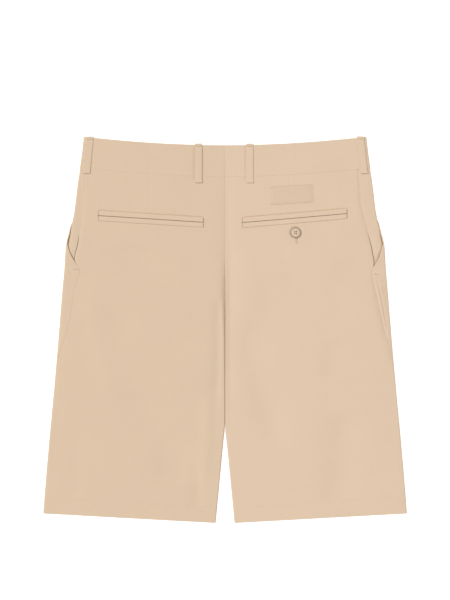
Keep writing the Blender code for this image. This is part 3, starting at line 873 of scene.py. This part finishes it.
def loop_profile(length, way, inset):
    """(distance below the loop's top, height over the band) along the strip.

    A tail lies under the loop's top, then come a turn, the run that shows, a turn and a tail.
    """
    run = length - 2 * LOOP_RADIUS
    past_tail = way - LOOP_TAIL
    past_run = past_tail - LOOP_TURN - run
    first = np.clip(past_tail / LOOP_RADIUS, 0, math.pi)
    last = np.clip(past_run / LOOP_RADIUS, 0, math.pi)
    along = np.clip(past_tail - LOOP_TURN, 0, run)
    tails = np.maximum(-past_tail, 0) - np.maximum(past_run - LOOP_TURN, 0)
    radius = LOOP_RADIUS - inset
    below = LOOP_RADIUS + along + tails + radius * (np.sin(last) - np.sin(first))
    over = 0.08 + LOOP_RADIUS + radius * (np.cos(last) - np.cos(first) - 1)
    over = over + LOOP_ARCH * np.sin(math.pi * along / run)
    return below, over + 0.5 * smooth((below - length + 6.5) / 6)


LOOP_ACROSS = edged(LOOP_WIDTH, [0, 0.1, 0.25, 0.45, 0.7, 1.1], 1.25, 13) - LOOP_WIDTH / 2
LOOP_ACROSS = LOOP_ACROSS.round(4)


def loop_grid(length):
    """Ways along a belt loop's strip, dense where it turns."""
    start = LOOP_TAIL + LOOP_TURN
    stop = start + length - 2 * LOOP_RADIUS
    end = stop + LOOP_TURN
    return steps((LOOP_TAIL, 5), (start, 10), (stop, 43), (end, 10), (end + LOOP_TAIL, 5))


def loop_relief(way, across):
    """Two sewn lines and the seam allowance inside the strip."""
    sunk = 0.08 * groove(np.abs(across) - LOOP_LINE, 0.7)
    sunk = sunk + 0.22 * smooth(np.abs(across) - LOOP_WIDTH / 2 + 1.0)
    return sunk + 0.28 * bell(way - (LOOP_TAIL + LOOP_TURN + LOOP_SEWN), 1.2)


def loop_place(loop, way, across, inset):
    """Points on a belt loop's strip, with inset in from its outer face."""
    below, over = loop_profile(loop.length, way, inset)
    share = below / loop.length
    middle = loop.top_distance + (loop.low_distance - loop.top_distance) * share
    height = waist_line((loop.top_distance + loop.low_distance) / 2) + loop.over_top - below
    held = np.minimum(middle + across, half_width(height) - 0.02)
    return tube_place(loop.side, height, -travel_at(height, held), -over, relief=False)


def belt_loop(loop, finish):
    ways, across = grid(loop_grid(loop.length), LOOP_ACROSS)
    edge = rolled(LOOP_WIDTH / 2 - np.abs(across), LOOP_EDGE, LOOP_CLOTH / 2)
    sunk = loop_relief(ways, across)
    outer = loop_place(loop, ways, across, sunk + edge)
    inner = loop_place(loop, ways, across, sunk + LOOP_CLOTH - edge)
    return shell(f"cloth_{loop.name}", outer, inner, stacked(across, ways), finish)


def front_belt_loop(side, word, finish):
    """A loop pressed flat between the front of the band and the surface."""
    top = waist_line(FRONT_LOOP_DISTANCE) - front_dip(FRONT_LOOP_DISTANCE, WAIST_CENTRE)
    length = FRONT_LOOP_LENGTH
    down, across = grid(edged(length, [*EDGE_STEPS, 1.5], 2.5, 40), LOOP_ACROSS)
    off = np.minimum(LOOP_WIDTH / 2 - np.abs(across), np.minimum(down, length - down))
    edge = rolled(off, LOOP_EDGE, FRONT_LOOP_CLOTH / 2)
    sunk = 0.10 * groove(np.abs(across) - LOOP_LINE, 0.7)
    sunk += 0.25 * (bell(down - 3.0, 1.3) + bell(length - 3.0 - down, 1.3))
    x, y = side * (FRONT_LOOP_DISTANCE + across), top + 1.0 - down
    outer, inner = stacked(x, y, 0.02 + edge + sunk), stacked(x, y, FRONT_LOOP_CLOTH - edge)
    return shell(f"cloth_belt_loop_front_{word}", outer, inner, stacked(across, down), finish)


def welt(pocket, word, finish):
    """One folded strip along a back pocket's slit. Its outer edge turns down into the seam."""
    sign = 1 if word == "upper" else -1
    length = pocket.outer - pocket.inner
    up = [0, 0.08, 0.2, 0.4, 0.7, 1.2, 2.0, 3.0, 4.0, 5.0, 5.7, 6.1, 6.4, 6.62, 6.75, WELT_WIDTH]
    along, up = grid(edged(length, [0, 0.12, 0.3, 0.6], 1.2, 74), up)
    distance = pocket.inner + along
    height = slit_height(pocket, distance) + sign * (SLIT_WIDTH / 2 + up)
    x = pocket.side * distance
    folded = rolled(up, TRIM_EDGE, WELT_CLOTH / 2)
    sewn = rolled(WELT_WIDTH - up, 0.8, 0.76)
    ends = rolled(np.minimum(along, length - along), 1.2, 0.7)
    base = tube_place(pocket.side, height, -travel_at(height, distance), 0.0, relief=False)
    base[..., 2] += WELT_RAISED - soft_relief(x, height) - sewn - ends
    outer, inner = base.copy(), base.copy()
    outer[..., 2] += 0.10 * np.sin(math.pi * up / WELT_WIDTH) - folded
    inner[..., 2] += folded - WELT_CLOTH
    return shell(f"cloth_welt_{pocket.name}_{word}", outer, inner, stacked(height, x), finish)


def fly_underlap(finish):
    """The cloth behind the zip. Its edge is turned in, and it lies a little uneven."""
    near = [*EDGE_STEPS, 1.5]
    across = edged(UNDERLAP_WIDTH, near, 2.4, 24)
    across, down = grid(across, edged(UNDERLAP_LENGTH, near, 2.4, 70))
    off = np.minimum(across, UNDERLAP_WIDTH - across)
    off = np.minimum(off, np.minimum(down, UNDERLAP_LENGTH - down))
    half = UNDERLAP_CLOTH / 2
    edge = rolled(off, 0.4, half)
    x, y = across - UNDERLAP_WIDTH / 2, UNDERLAP_TOP - down
    level = 2.85 + 0.08 * np.sin(down / 17.0 + across / 9.0) + 0.05 * np.sin(down / 7.0)
    outer = stacked(x, y, level + half - edge - 0.08 * groove(off - 2.2, 0.8))
    inner = stacked(x, y, level - half + edge)
    return shell("cloth_fly_underlap", outer, inner, stacked(x, y), finish)


def fly_zip(finish):
    """The zip's woven tape, with a raised cord along each side of its coils."""
    across = edged(ZIP_WIDTH, [0, 0.1, 0.3, 0.8], 1.6, 44)
    across, down = grid(across, np.linspace(0, ZIP_LENGTH, 90))
    x, y = across - ZIP_WIDTH / 2, ZIP_TOP - down
    edge = rolled(np.minimum(across, ZIP_WIDTH - across), 0.3, ZIP_CLOTH / 2)
    cord = 0.18 * bell(np.abs(x) - 3.4, 0.5)
    level = ZIP_FACE + 0.05 * np.sin(down / 11.0)
    outer = stacked(x, y, level + cord - edge)
    inner = stacked(x, y, level - ZIP_CLOTH + edge)
    return shell("zip_tape_woven", outer, inner, stacked(x, y), finish)


def zip_coils():
    """The closed coils that hold the two sides of the zip together."""
    spots = []
    for k, down in enumerate(np.arange(4.0, ZIP_LENGTH - 6.0, 0.75)):
        side = 1 if k % 2 else -1
        middle = (side * 0.7, ZIP_TOP - down, ZIP_FACE + 0.17)
        spots.append((middle, (1.0, 0.12 * side, 0.0), 3.8, 0.27))
    return spots


def label_place(along, up):
    """The place of a point on the patch, given from its middle."""
    cos, sin = math.cos(LABEL_TILT), math.sin(LABEL_TILT)
    return LABEL_X + along * cos - up * sin, LABEL_Y + along * sin + up * cos


def seat_label(finish):
    along = edged(LABEL_LENGTH, EDGE_STEPS, 1.6, 44)
    along, up = grid(along, edged(LABEL_HEIGHT, EDGE_STEPS, 1.3, 40))
    off_side = np.minimum(along, LABEL_LENGTH - along)
    off_edge = np.minimum(up, LABEL_HEIGHT - up)
    edge = rolled(np.minimum(off_side, off_edge), TRIM_EDGE, LABEL_CLOTH / 2)
    side_in = 0.5 * bell(off_side, 4.4)
    sunk = LABEL_SEWN_IN * groove(off_edge - 1.5, 1.4) * smooth(off_side - 0.6) + side_in
    along, up = along - LABEL_LENGTH / 2, up - LABEL_HEIGHT / 2
    x, y = label_place(along, up)
    level = 2 * FOLD_RADIUS - soft_relief(x, y) + LABEL_RAISED
    outer = stacked(x, y, level + LABEL_CLOTH - edge - sunk)
    inner = stacked(x, y, level + edge - 0.12 * groove(off_edge, 1.0) - side_in)
    return shell("cloth_seat_label", outer, inner, stacked(along, up), finish)


# Sewing


def threads(name, spots, finish, sides=6):
    """Short lengths of thread. Each spot is (middle, direction, length, radius)."""
    painted_rings = [(-1.0, 0.35), (-0.72, 0.9), (0.0, 1.0), (0.72, 0.9), (1.0, 0.35)]
    points, faces = [], []
    angles = np.linspace(0, 2 * math.pi, sides, endpoint=False)[:, None]
    for middle, direction, length, radius in spots:
        direction = np.array(direction, float)
        direction /= np.linalg.norm(direction)
        across = np.cross(direction, (0, 0, 1.0))
        across /= np.linalg.norm(across)
        up = np.cross(across, direction)
        circle = across * np.cos(angles) + up * np.sin(angles)
        start = len(points)
        for along, share in painted_rings:
            dip = -0.9 * radius * abs(along) ** 3
            centre = np.array(middle) + direction * along * length / 2 + up * dip
            points += ((centre + circle * radius * share) * MM).tolist()
        last = len(points) - sides
        for low in range(start, last, sides):
            for k in range(sides):
                a, b = low + k, low + (k + 1) % sides
                faces.append((a, b, b + sides, a + sides))
        faces += [range(start + sides - 1, start - 1, -1), range(last, last + sides)]
    mesh = bpy.data.meshes.new(name)
    mesh.from_pydata(points, [], faces)
    layer = mesh.uv_layers.new(name="grain")
    for corner in mesh.loops:
        layer.data[corner.index].uv = mesh.vertices[corner.vertex_index].co.xy
    return add_piece(name, mesh, finish, math.radians(80))


def stitch(first, last, length, radius, lift=0.0):
    """A length of thread between two points of a surface."""
    return (first + last) / 2 + np.array([0, 0, lift]), last - first, length, radius


def run_of_stitches(line, surface, length, space, radius, lift=0.0):
    """Stitches along a line of (x, y) points, on a surface."""
    line = np.array(line, float)
    along = np.concatenate([[0], np.cumsum(np.hypot(*np.diff(line, axis=0).T))])
    spots = []
    for start in np.arange(space / 2, along[-1] - length, length + space):
        first, last = (
            surface(np.interp(at, along, line[:, 0]), np.interp(at, along, line[:, 1]))
            for at in (start, start + length)
        )
        spots.append(stitch(first, last, length, radius, lift))
    return spots


def bartack(start, end, surface, width, radius=0.19, pitch=0.42):
    """A dense zigzag of thread over a short line."""
    start, end = np.array(start, float), np.array(end, float)
    length = np.hypot(*(end - start))
    way = (end - start) / length
    across = np.array([-way[1], way[0]])
    spots = []
    count = max(2, round(length / pitch))
    for k in range(count):
        middle = surface(*(start + way * (k + 0.5) * length / count))
        middle[2] += 0.10
        direction = across * width + way * pitch * (0.6 if k % 2 else -0.6)
        spots.append((middle, (*direction, 0.0), width, radius))
    return spots


def on_panel(x, y, layer):
    """A point on the outer face of the back (layer -1) or of the front (layer 1)."""
    height = np.array([y])
    travel = layer * travel_at(height, np.array([abs(x)]))
    return tube_place(-1 if x < 0 else 1, height, travel, np.zeros(1))[0]


def on_cloth(x, y):
    return on_panel(x, y, -1)


def raised(amount):
    """A surface that lies over the back by an amount, level with what is sewn onto it."""

    def surface(x, y):
        level = soft_relief(np.array([x]), np.array([y]))[0]
        return np.array([x, y, 2 * FOLD_RADIUS - level + amount])

    return surface


def under_front(x, y):
    return on_panel(x, y, 1)


def loop_top(loop, below, across):
    """A point on a back belt loop's outer face."""
    way, across = np.array([LOOP_TAIL + LOOP_TURN + below - LOOP_RADIUS]), np.array([across])
    return loop_place(loop, way, across, loop_relief(way, across))[0]


def loop_threads(loop):
    spots = []
    for across in (-LOOP_LINE, LOOP_LINE):
        for below in np.arange(4.6, loop.length - 6.0, 3.1):
            first, last = (loop_top(loop, below + off, across) for off in (0, 2.5))
            spots.append(stitch(first, last, 2.5, 0.13))
    for k in range(LOOP_TACK_COUNT):
        across = -4.4 + 8.8 * k / (LOOP_TACK_COUNT - 1)
        middle = loop_top(loop, LOOP_RADIUS + LOOP_SEWN, across)
        upper = loop_top(loop, LOOP_RADIUS + LOOP_SEWN - 0.5, across)
        direction = upper - middle + np.array([0.12 if k % 2 else -0.12, 0, 0])
        middle[2] += 0.06
        spots.append((middle, direction, 1.5, 0.17))
    return spots


def label_spots():
    spots = []
    half_long, half_high = LABEL_LENGTH / 2 - 1.5, LABEL_HEIGHT / 2 - 1.5
    surface = raised(LABEL_RAISED + LABEL_CLOTH - LABEL_SEWN_IN)
    for up in (-half_high, half_high):
        line = [label_place(-half_long, up), label_place(half_long, up)]
        spots += run_of_stitches(line, surface, 2.2, 0.5, 0.19)
    return spots


def pocket_spots(pocket):
    spots = []
    span = WELT_WIDTH - 0.3
    for distance, inward in ((pocket.inner, 0.5), (pocket.outer, -0.5)):
        x, middle = pocket.side * (distance + inward), slit_height(pocket, distance)
        spots += bartack((x, middle - span), (x, middle + span), raised(0.5), 1.5)
    return spots


def buttonhole_spots():
    x, low = BUTTON_X + 1.4, BUTTONHOLE_LOW
    spots = []
    for off in (-1.0, 1.0):
        spots += bartack((x + off, low + 1), (x + off, BUTTONHOLE_HIGH), on_cloth, 1.5, 0.17, 0.40)
    return spots + bartack((x, low - 1.4), (x, low + 1.0), on_cloth, 3.2, 0.18, 0.40)


def side_pocket_spots():
    spots = []
    for start, end in SIDE_POCKET_TACKS:
        spots += bartack(start, end, on_cloth, 1.4, 0.15)
    return spots


def hem_spots():
    """The hem's blind stitches, which only show as short pricks."""
    spots = []
    for side in (-1, 1):
        for k, distance in enumerate(np.arange(20.0, 246.0, HEM_PITCH)):
            height = hem_line(distance) + HEM_TURN_UP
            if distance < inner_edge(height) + 6:
                continue
            height += 0.5 * math.sin(k * 2.3 + side)
            half = 1.1 + 0.4 * math.sin(k * 1.7)
            first, last = (on_cloth(side * distance + off, height) for off in (-half, half))
            spots.append(stitch(first, last, 2 * half, 0.17))
    return spots


def under_spots():
    """Stitching on the front: the fly's curve, the hems and the tack at the fly's end."""
    top = FLY_TOP - 1.5
    heights = np.linspace(top, top - FLY_LENGTH + 2.0, 70)
    line = [(-fly_stitch_distance(height), height) for height in heights]
    spots = run_of_stitches(line, under_front, 2.6, 0.7, 0.14, 0.1)
    spots += bartack((-9.5, top - 96), (-2.5, top - 100), under_front, 1.6)
    for side in (-1, 1):
        for distance in np.arange(24.0, 246.0, HEM_PITCH):
            height = hem_line(distance) + HEM_TURN_UP
            first, last = (under_front(side * distance + off, height) for off in (-0.9, 0.9))
            spots.append(stitch(first, last, 1.6, 0.12, 0.02))
    return spots


def turned_mesh(name, outline, radius):
    """A closed turned mesh, from an outline of (share of the radius, height)."""
    bm = bmesh.new()
    profile = [bm.verts.new((share * radius * MM, 0, z * MM)) for share, z in outline]
    edges = [bm.edges.new(pair) for pair in zip(profile, profile[1:])]
    turn = {"axis": (0, 0, 1), "angle": 2 * math.pi, "steps": 72, "use_merge": True}
    bmesh.ops.spin(bm, geom=profile + edges, **turn)
    return cleaned(bm, bpy.data.meshes.new(name), 0.01)


def hole_cutter(middle, angle):
    """A round bar where one of the button's holes goes, at an angle round its middle."""
    bm = bmesh.new()
    size = {"radius1": HOLE_RADIUS * MM, "radius2": HOLE_RADIUS * MM, "depth": 9 * MM}
    bmesh.ops.create_cone(bm, cap_ends=True, segments=24, **size)
    mesh = bpy.data.meshes.new("hole")
    bm.to_mesh(mesh)
    bm.free()
    x = middle.x + HOLE_DISTANCE * math.cos(angle) * MM
    y = middle.y + HOLE_DISTANCE * math.sin(angle) * MM
    return put_in_scene("hole", mesh, (x, y, middle.z))


def button_place(over=0.0):
    """The middle of the button's underside, or a point over it."""
    return raised(BUTTON_RAISED - BUTTON_PRESSED + over)(BUTTON_X, BUTTON_Y)


def button(finish):
    """A turned button with a domed middle inside a low rim, and four holes."""
    piece = add_piece("button", turned_mesh("button", BUTTON_OUTLINE, BUTTON_RADIUS), finish)
    piece.location = button_place() * MM
    for k in range(4):
        cut = piece.modifiers.new("hole", "BOOLEAN")
        cut.object = hole_cutter(piece.location, math.pi / 4 + math.pi / 2 * k)
        cut.solver = "EXACT"
    bpy.context.view_layer.update()
    evaluated = piece.evaluated_get(bpy.context.evaluated_depsgraph_get())
    made = bpy.data.meshes.new_from_object(evaluated)
    for cut in piece.modifiers:
        bpy.data.objects.remove(cut.object)
    piece.modifiers.clear()
    piece.data = made
    made.shade_smooth()
    made.set_sharp_from_angle(angle=math.radians(38))
    return piece


def button_threads():
    """Two bars of thread over the button, each end of them turned down into a hole."""
    z = button_place(1.97)[2]
    spots = []
    for side in (-1, 1):
        for off in (-0.3, 0.0, 0.3):
            x = BUTTON_X + side * THREAD_DISTANCE + off
            spots.append(((x, BUTTON_Y, z), (0.04 * off, 1, 0), 1.5, 0.2))
            for end in (-1, 1):
                middle = (x, BUTTON_Y + end * 0.92, z - 0.6)
                spots.append((middle, (0, end * 0.35, -1), 1.3, 0.2))
    return spots


# Materials


class Graph:
    """Short ways to add nodes to one material. Each gives the output that the next node reads."""

    def __init__(self, name):
        self.material = bpy.data.materials.new(name)
        self.material.use_nodes = True
        self.nodes = self.material.node_tree.nodes

    def put(self, socket, value):
        if isinstance(value, bpy.types.NodeSocket):
            self.material.node_tree.links.new(value, socket)
        else:
            socket.default_value = value

    def fill(self, node, inputs):
        """Sets or links a node's inputs. Their names have _ for each space."""
        for name, value in inputs.items():
            self.put(node.inputs[name.replace("_", " ")], value)
        return node

    def add(self, kind, output, **inputs):
        return self.fill(self.nodes.new(kind), inputs).outputs[output]

    def math(self, operation, *values):
        node = self.nodes.new("ShaderNodeMath")
        node.operation = operation
        for socket, value in zip(node.inputs, values):
            self.put(socket, value)
        return node.outputs[0]

    def times(self, value, factor, plus=0.0):
        return self.math("MULTIPLY_ADD", value, factor, plus)

    def ripple(self, angle):
        return self.times(self.math("SINE", angle), 0.5, 0.5)

    def blend(self, share, first, second, kind="MIX"):
        node = self.nodes.new("ShaderNodeMix")
        node.data_type = "RGBA"
        node.blend_type = kind
        self.put(node.inputs["Factor"], share)
        colours = [socket for socket in node.inputs if socket.type == "RGBA"]
        self.put(colours[0], first)
        self.put(colours[1], second)
        return next(socket for socket in node.outputs if socket.type == "RGBA")

    def place(self):
        return self.add("ShaderNodeTexCoord", "Object")

    def mapped(self, vector, **how):
        return self.add("ShaderNodeMapping", "Vector", Vector=vector, **how)

    def noise(self, vector, scale, detail=2.0, **more):
        return self.add(
            "ShaderNodeTexNoise", "Fac", Vector=vector, Scale=scale, Detail=detail, **more
        )

    def wave(self, vector, scale, distortion):
        return self.add(
            "ShaderNodeTexWave", "Fac", Vector=vector, Scale=scale, Distortion=distortion
        )

    def bump(self, height, strength, distance, **more):
        return self.add(
            "ShaderNodeBump", "Normal", Height=height, Strength=strength, Distance=distance, **more
        )

    def tinted(self, colour, tone):
        """The colour, lighter or darker by a tone."""
        grey = self.add("ShaderNodeCombineColor", "Color", Red=tone, Green=tone, Blue=tone)
        return self.blend(1.0, colour, grey, "MULTIPLY")

    def shaded(self, **inputs):
        """Fills in the shader, and gives the finished material."""
        self.fill(self.nodes["Principled BSDF"], inputs)
        return self.material


def shade(colour, share):
    return (*[min(1.0, c * share) for c in colour[:3]], 1.0)


def twill(name, colour, pitch=0.00062, depth=0.00012):
    """Cotton twill: fine diagonal ribs of warp over crossing weft, a little uneven."""
    g = Graph(name)
    node = g.nodes.new("ShaderNodeUVMap")
    node.uv_map = "grain"
    grain = node.outputs["UV"]
    u, v = (g.add("ShaderNodeSeparateXYZ", axis, Vector=grain) for axis in "XY")
    u = g.times(g.noise(grain, 160.0, 1.0), 0.0009, u)
    turn = 2 * math.pi / pitch
    rib = g.ripple(g.times(u, turn * 0.88, g.times(v, turn * 0.47)))
    pick = g.ripple(g.times(v, turn / 0.62))
    weave = g.times(rib, 0.68, g.times(pick, 0.32))
    slub = g.noise(g.mapped(grain, Scale=(1.0, 0.12, 1.0)), 1500.0)
    slub_across = g.noise(g.mapped(grain, Scale=(0.12, 1.0, 1.0)), 1300.0)
    streak = g.times(g.times(slub, 0.6, g.times(slub_across, 0.4)), 0.12, 0.94)
    patchy = g.times(g.noise(grain, 16.0, 3.0, Roughness=0.55), 0.05, 0.975)
    yarn = g.blend(weave, shade(colour, 0.90), shade(colour, 1.08))
    fine = g.bump(g.times(streak, 0.8, weave), 0.6, depth)
    return g.shaded(
        Base_Color=g.tinted(yarn, g.math("MULTIPLY", streak, patchy)),
        Roughness=g.times(slub, 0.12, 0.80),
        Specular_IOR_Level=0.18,
        Sheen_Weight=0.12,
        Sheen_Roughness=0.45,
        Sheen_Tint=(1.0, 0.95, 0.88, 1.0),
        Normal=g.bump(g.noise(grain, 70.0), 0.5, 0.0005, Normal=fine),
    )


def thread_material(name, colour):
    g = Graph(name)
    place = g.place()
    strands = g.wave(g.mapped(place, Rotation=(0, 0, 0.7)), 900.0, 1.5)
    tone = g.noise(place, 700.0)
    mixed = g.blend(strands, shade(colour, 0.86), shade(colour, 1.06))
    return g.shaded(
        Base_Color=g.blend(tone, mixed, shade(colour, 0.97)),
        Roughness=g.times(tone, 0.15, 0.5),
        Sheen_Weight=0.15,
        Normal=g.bump(strands, 0.5, 0.00005),
    )


def button_material(colour):
    """Polyester resin with a faint swirl. Its edge and the turn of its dome are darkened with painted
    shade, and the dome's shoulder is lightened with a painted highlight.
    """
    g = Graph("button_resin_painted_shading")
    place = g.place()
    away = g.nodes.new("ShaderNodeVectorMath")
    away.operation = "LENGTH"
    g.put(away.inputs[0], g.mapped(place, Scale=(1, 1, 0)))
    share = g.math("DIVIDE", away.outputs["Value"], BUTTON_RADIUS * MM)
    swirl = g.noise(place, 230.0, 3.0, Distortion=1.8)
    share = g.math("ADD", share, g.times(swirl, 0.05, -0.025))
    # A ramp out from the middle that paints shade on the edge and the dome's turn, and a highlight
    # ring on the dome's shoulder
    painted_rings = g.nodes.new("ShaderNodeValToRGB")
    g.put(painted_rings.inputs["Fac"], share)
    elements = painted_rings.color_ramp.elements
    for at, _ in BUTTON_PAINTED_SHADING[1:-1]:
        elements.new(at)
    for element, (at, tone) in zip(elements, BUTTON_PAINTED_SHADING):
        element.position, element.color = at, shade(colour, tone)
    spot = g.noise(place, 1400.0)
    return g.shaded(
        Base_Color=g.tinted(painted_rings.outputs["Color"], g.times(spot, 0.16, 0.92)),
        Roughness=g.times(spot, 0.16, 0.28),
        Normal=g.bump(spot, 0.25, 0.00005),
    )


def tape_material(name, colour):
    g = Graph(name)
    place = g.place()
    weave = g.wave(place, 420.0, 0.5)
    return g.shaded(
        Base_Color=g.blend(weave, shade(colour, 0.8), shade(colour, 1.05)),
        Roughness=g.times(g.noise(place, 300.0), 0.2, 0.65),
        Normal=g.bump(weave, 0.5, 0.0001),
    )


# The scene

# The left twill is a darker copy of the right one: painted shade over the whole left half of the
# garment
CLOTH_LEFT_PAINTED_SHADE = (0.617, 0.471, 0.338)
CLOTH_RIGHT = (0.637, 0.487, 0.354)
PATCH_COLOUR = (0.615, 0.467, 0.335)
THREAD_COLOUR = (0.50, 0.365, 0.255)
PALE_THREAD_COLOUR = (0.62, 0.465, 0.335)
BUTTON_COLOUR = (0.625, 0.464, 0.325)
TAPE_COLOUR = (0.52, 0.38, 0.27)

# Painted shade: the left halves get the darker copy of the twill
cloth = {-1: twill("twill_left_painted_shade", CLOTH_LEFT_PAINTED_SHADE), 1: twill("twill_right", CLOTH_RIGHT)}
patch = twill("twill_patch", PATCH_COLOUR, 0.00042, 0.00008)
thread = thread_material("sewing_thread", THREAD_COLOUR)
pale_thread = thread_material("buttonhole_thread", PALE_THREAD_COLOUR)
resin = button_material(BUTTON_COLOUR)
tape = tape_material("zip_tape_dressed", TAPE_COLOUR)

SIDES = ((-1, "left"), (1, "right"))


def dress(piece, node=None):
    """The piece moves with the only body, and stands for a node of the solids if one is given."""
    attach(piece, "root")
    if node:
        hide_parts(node)


for side, word in SIDES:
    finish = cloth[side]
    dress(back_panel(side, word, finish), f"back_{word}")
    dress(front_panel(side, word, finish), f"front_{word}")
    dress(waistband(side, word, finish), f"waistband_{word}")
    dress(pocket_bearer(side, word, finish), f"pocket_bearer_{word}")
    dress(front_belt_loop(side, word, finish), f"belt_loop_front_{word}")
for loop in BACK_LOOPS:
    dress(belt_loop(loop, cloth[loop.side]), loop.name)
for pocket in BACK_POCKETS:
    for word in ("upper", "lower"):
        piece = welt(pocket, word, cloth[pocket.side])
        dress(piece, f"welt_{pocket.name}_{word}")
dress(seat_label(patch), "seat_label")
dress(fly_underlap(cloth[1]), "fly_underlap")
dress(fly_zip(tape), "fly_zip")
dress(button(resin), "back_pocket_button")

spots = []
for loop in BACK_LOOPS:
    spots += loop_threads(loop)
for pocket in BACK_POCKETS:
    spots += pocket_spots(pocket)
spots += label_spots() + hem_spots()
dress(threads("stitching_back", spots, thread))
pale_spots = buttonhole_spots() + side_pocket_spots()
dress(threads("stitching_pale", pale_spots, pale_thread))
dress(threads("stitching_front", under_spots(), thread))
dress(threads("button_thread", button_threads(), pale_thread))
dress(threads("zip_coils", zip_coils(), tape))


WHITE = (1.0, 1.0, 1.0, 1.0)
FLOOR_EDGE = 9
FLOOR_BELOW = 0.0002
FLOOR_GLOW = 0.45
WORLD_GLOW = 0.395

corners = [(-1, -1, 0), (1, -1, 0), (1, 1, 0), (-1, 1, 0)]
floor_mesh = bpy.data.meshes.new("floor")
floor_mesh.from_pydata([Vector(corner) * FLOOR_EDGE for corner in corners], [], [(0, 1, 2, 3)])
ground = Graph("floor_white")
mottle = ground.noise(ground.place(), 3.0)
white = ground.shaded(
    Base_Color=ground.blend(mottle, (0.93, 0.93, 0.93, 1.0), (0.95, 0.95, 0.95, 1.0)),
    Roughness=0.95,
    Emission_Color=WHITE,
    Emission_Strength=FLOOR_GLOW,
)
floor_mesh.materials.append(white)
floor = put_in_scene("floor", floor_mesh, (0, 0, -FLOOR_BELOW))


def area_light(name, place, size, power):
    """A square soft light that points at the origin."""
    light = bpy.data.lights.new(name, "AREA")
    light.size = size
    light.energy = power
    made = put_in_scene(name, light, place)
    made.rotation_mode = "QUATERNION"
    made.rotation_quaternion = (-made.location).to_track_quat("-Z", "Y")


area_light("key", (-7.0, 5.0, 6.4), 3.2, 740)
area_light("overhead", (0.2, -1.5, 4.6), 4.5, 138)

world = bpy.data.worlds.new("studio")
bpy.context.scene.world = world
world.use_nodes = True
background = world.node_tree.nodes["Background"]
background.inputs["Color"].default_value = WHITE
background.inputs["Strength"].default_value = WORLD_GLOW

VIEW_HEIGHT = 0.840
VIEW_CENTRE_Y = 0.0413
CAMERA_DISTANCE = 2.6
SENSOR = 36.0

camera_data = bpy.data.cameras.new("camera")
camera_data.sensor_width = SENSOR
camera_data.lens = SENSOR * CAMERA_DISTANCE / VIEW_HEIGHT
camera_data.clip_end = 50
camera_place = (0, VIEW_CENTRE_Y, FOLD_RADIUS * MM + CAMERA_DISTANCE)
bpy.context.scene.camera = put_in_scene("camera", camera_data, camera_place)
bpy.context.scene.view_settings.view_transform = "Standard"
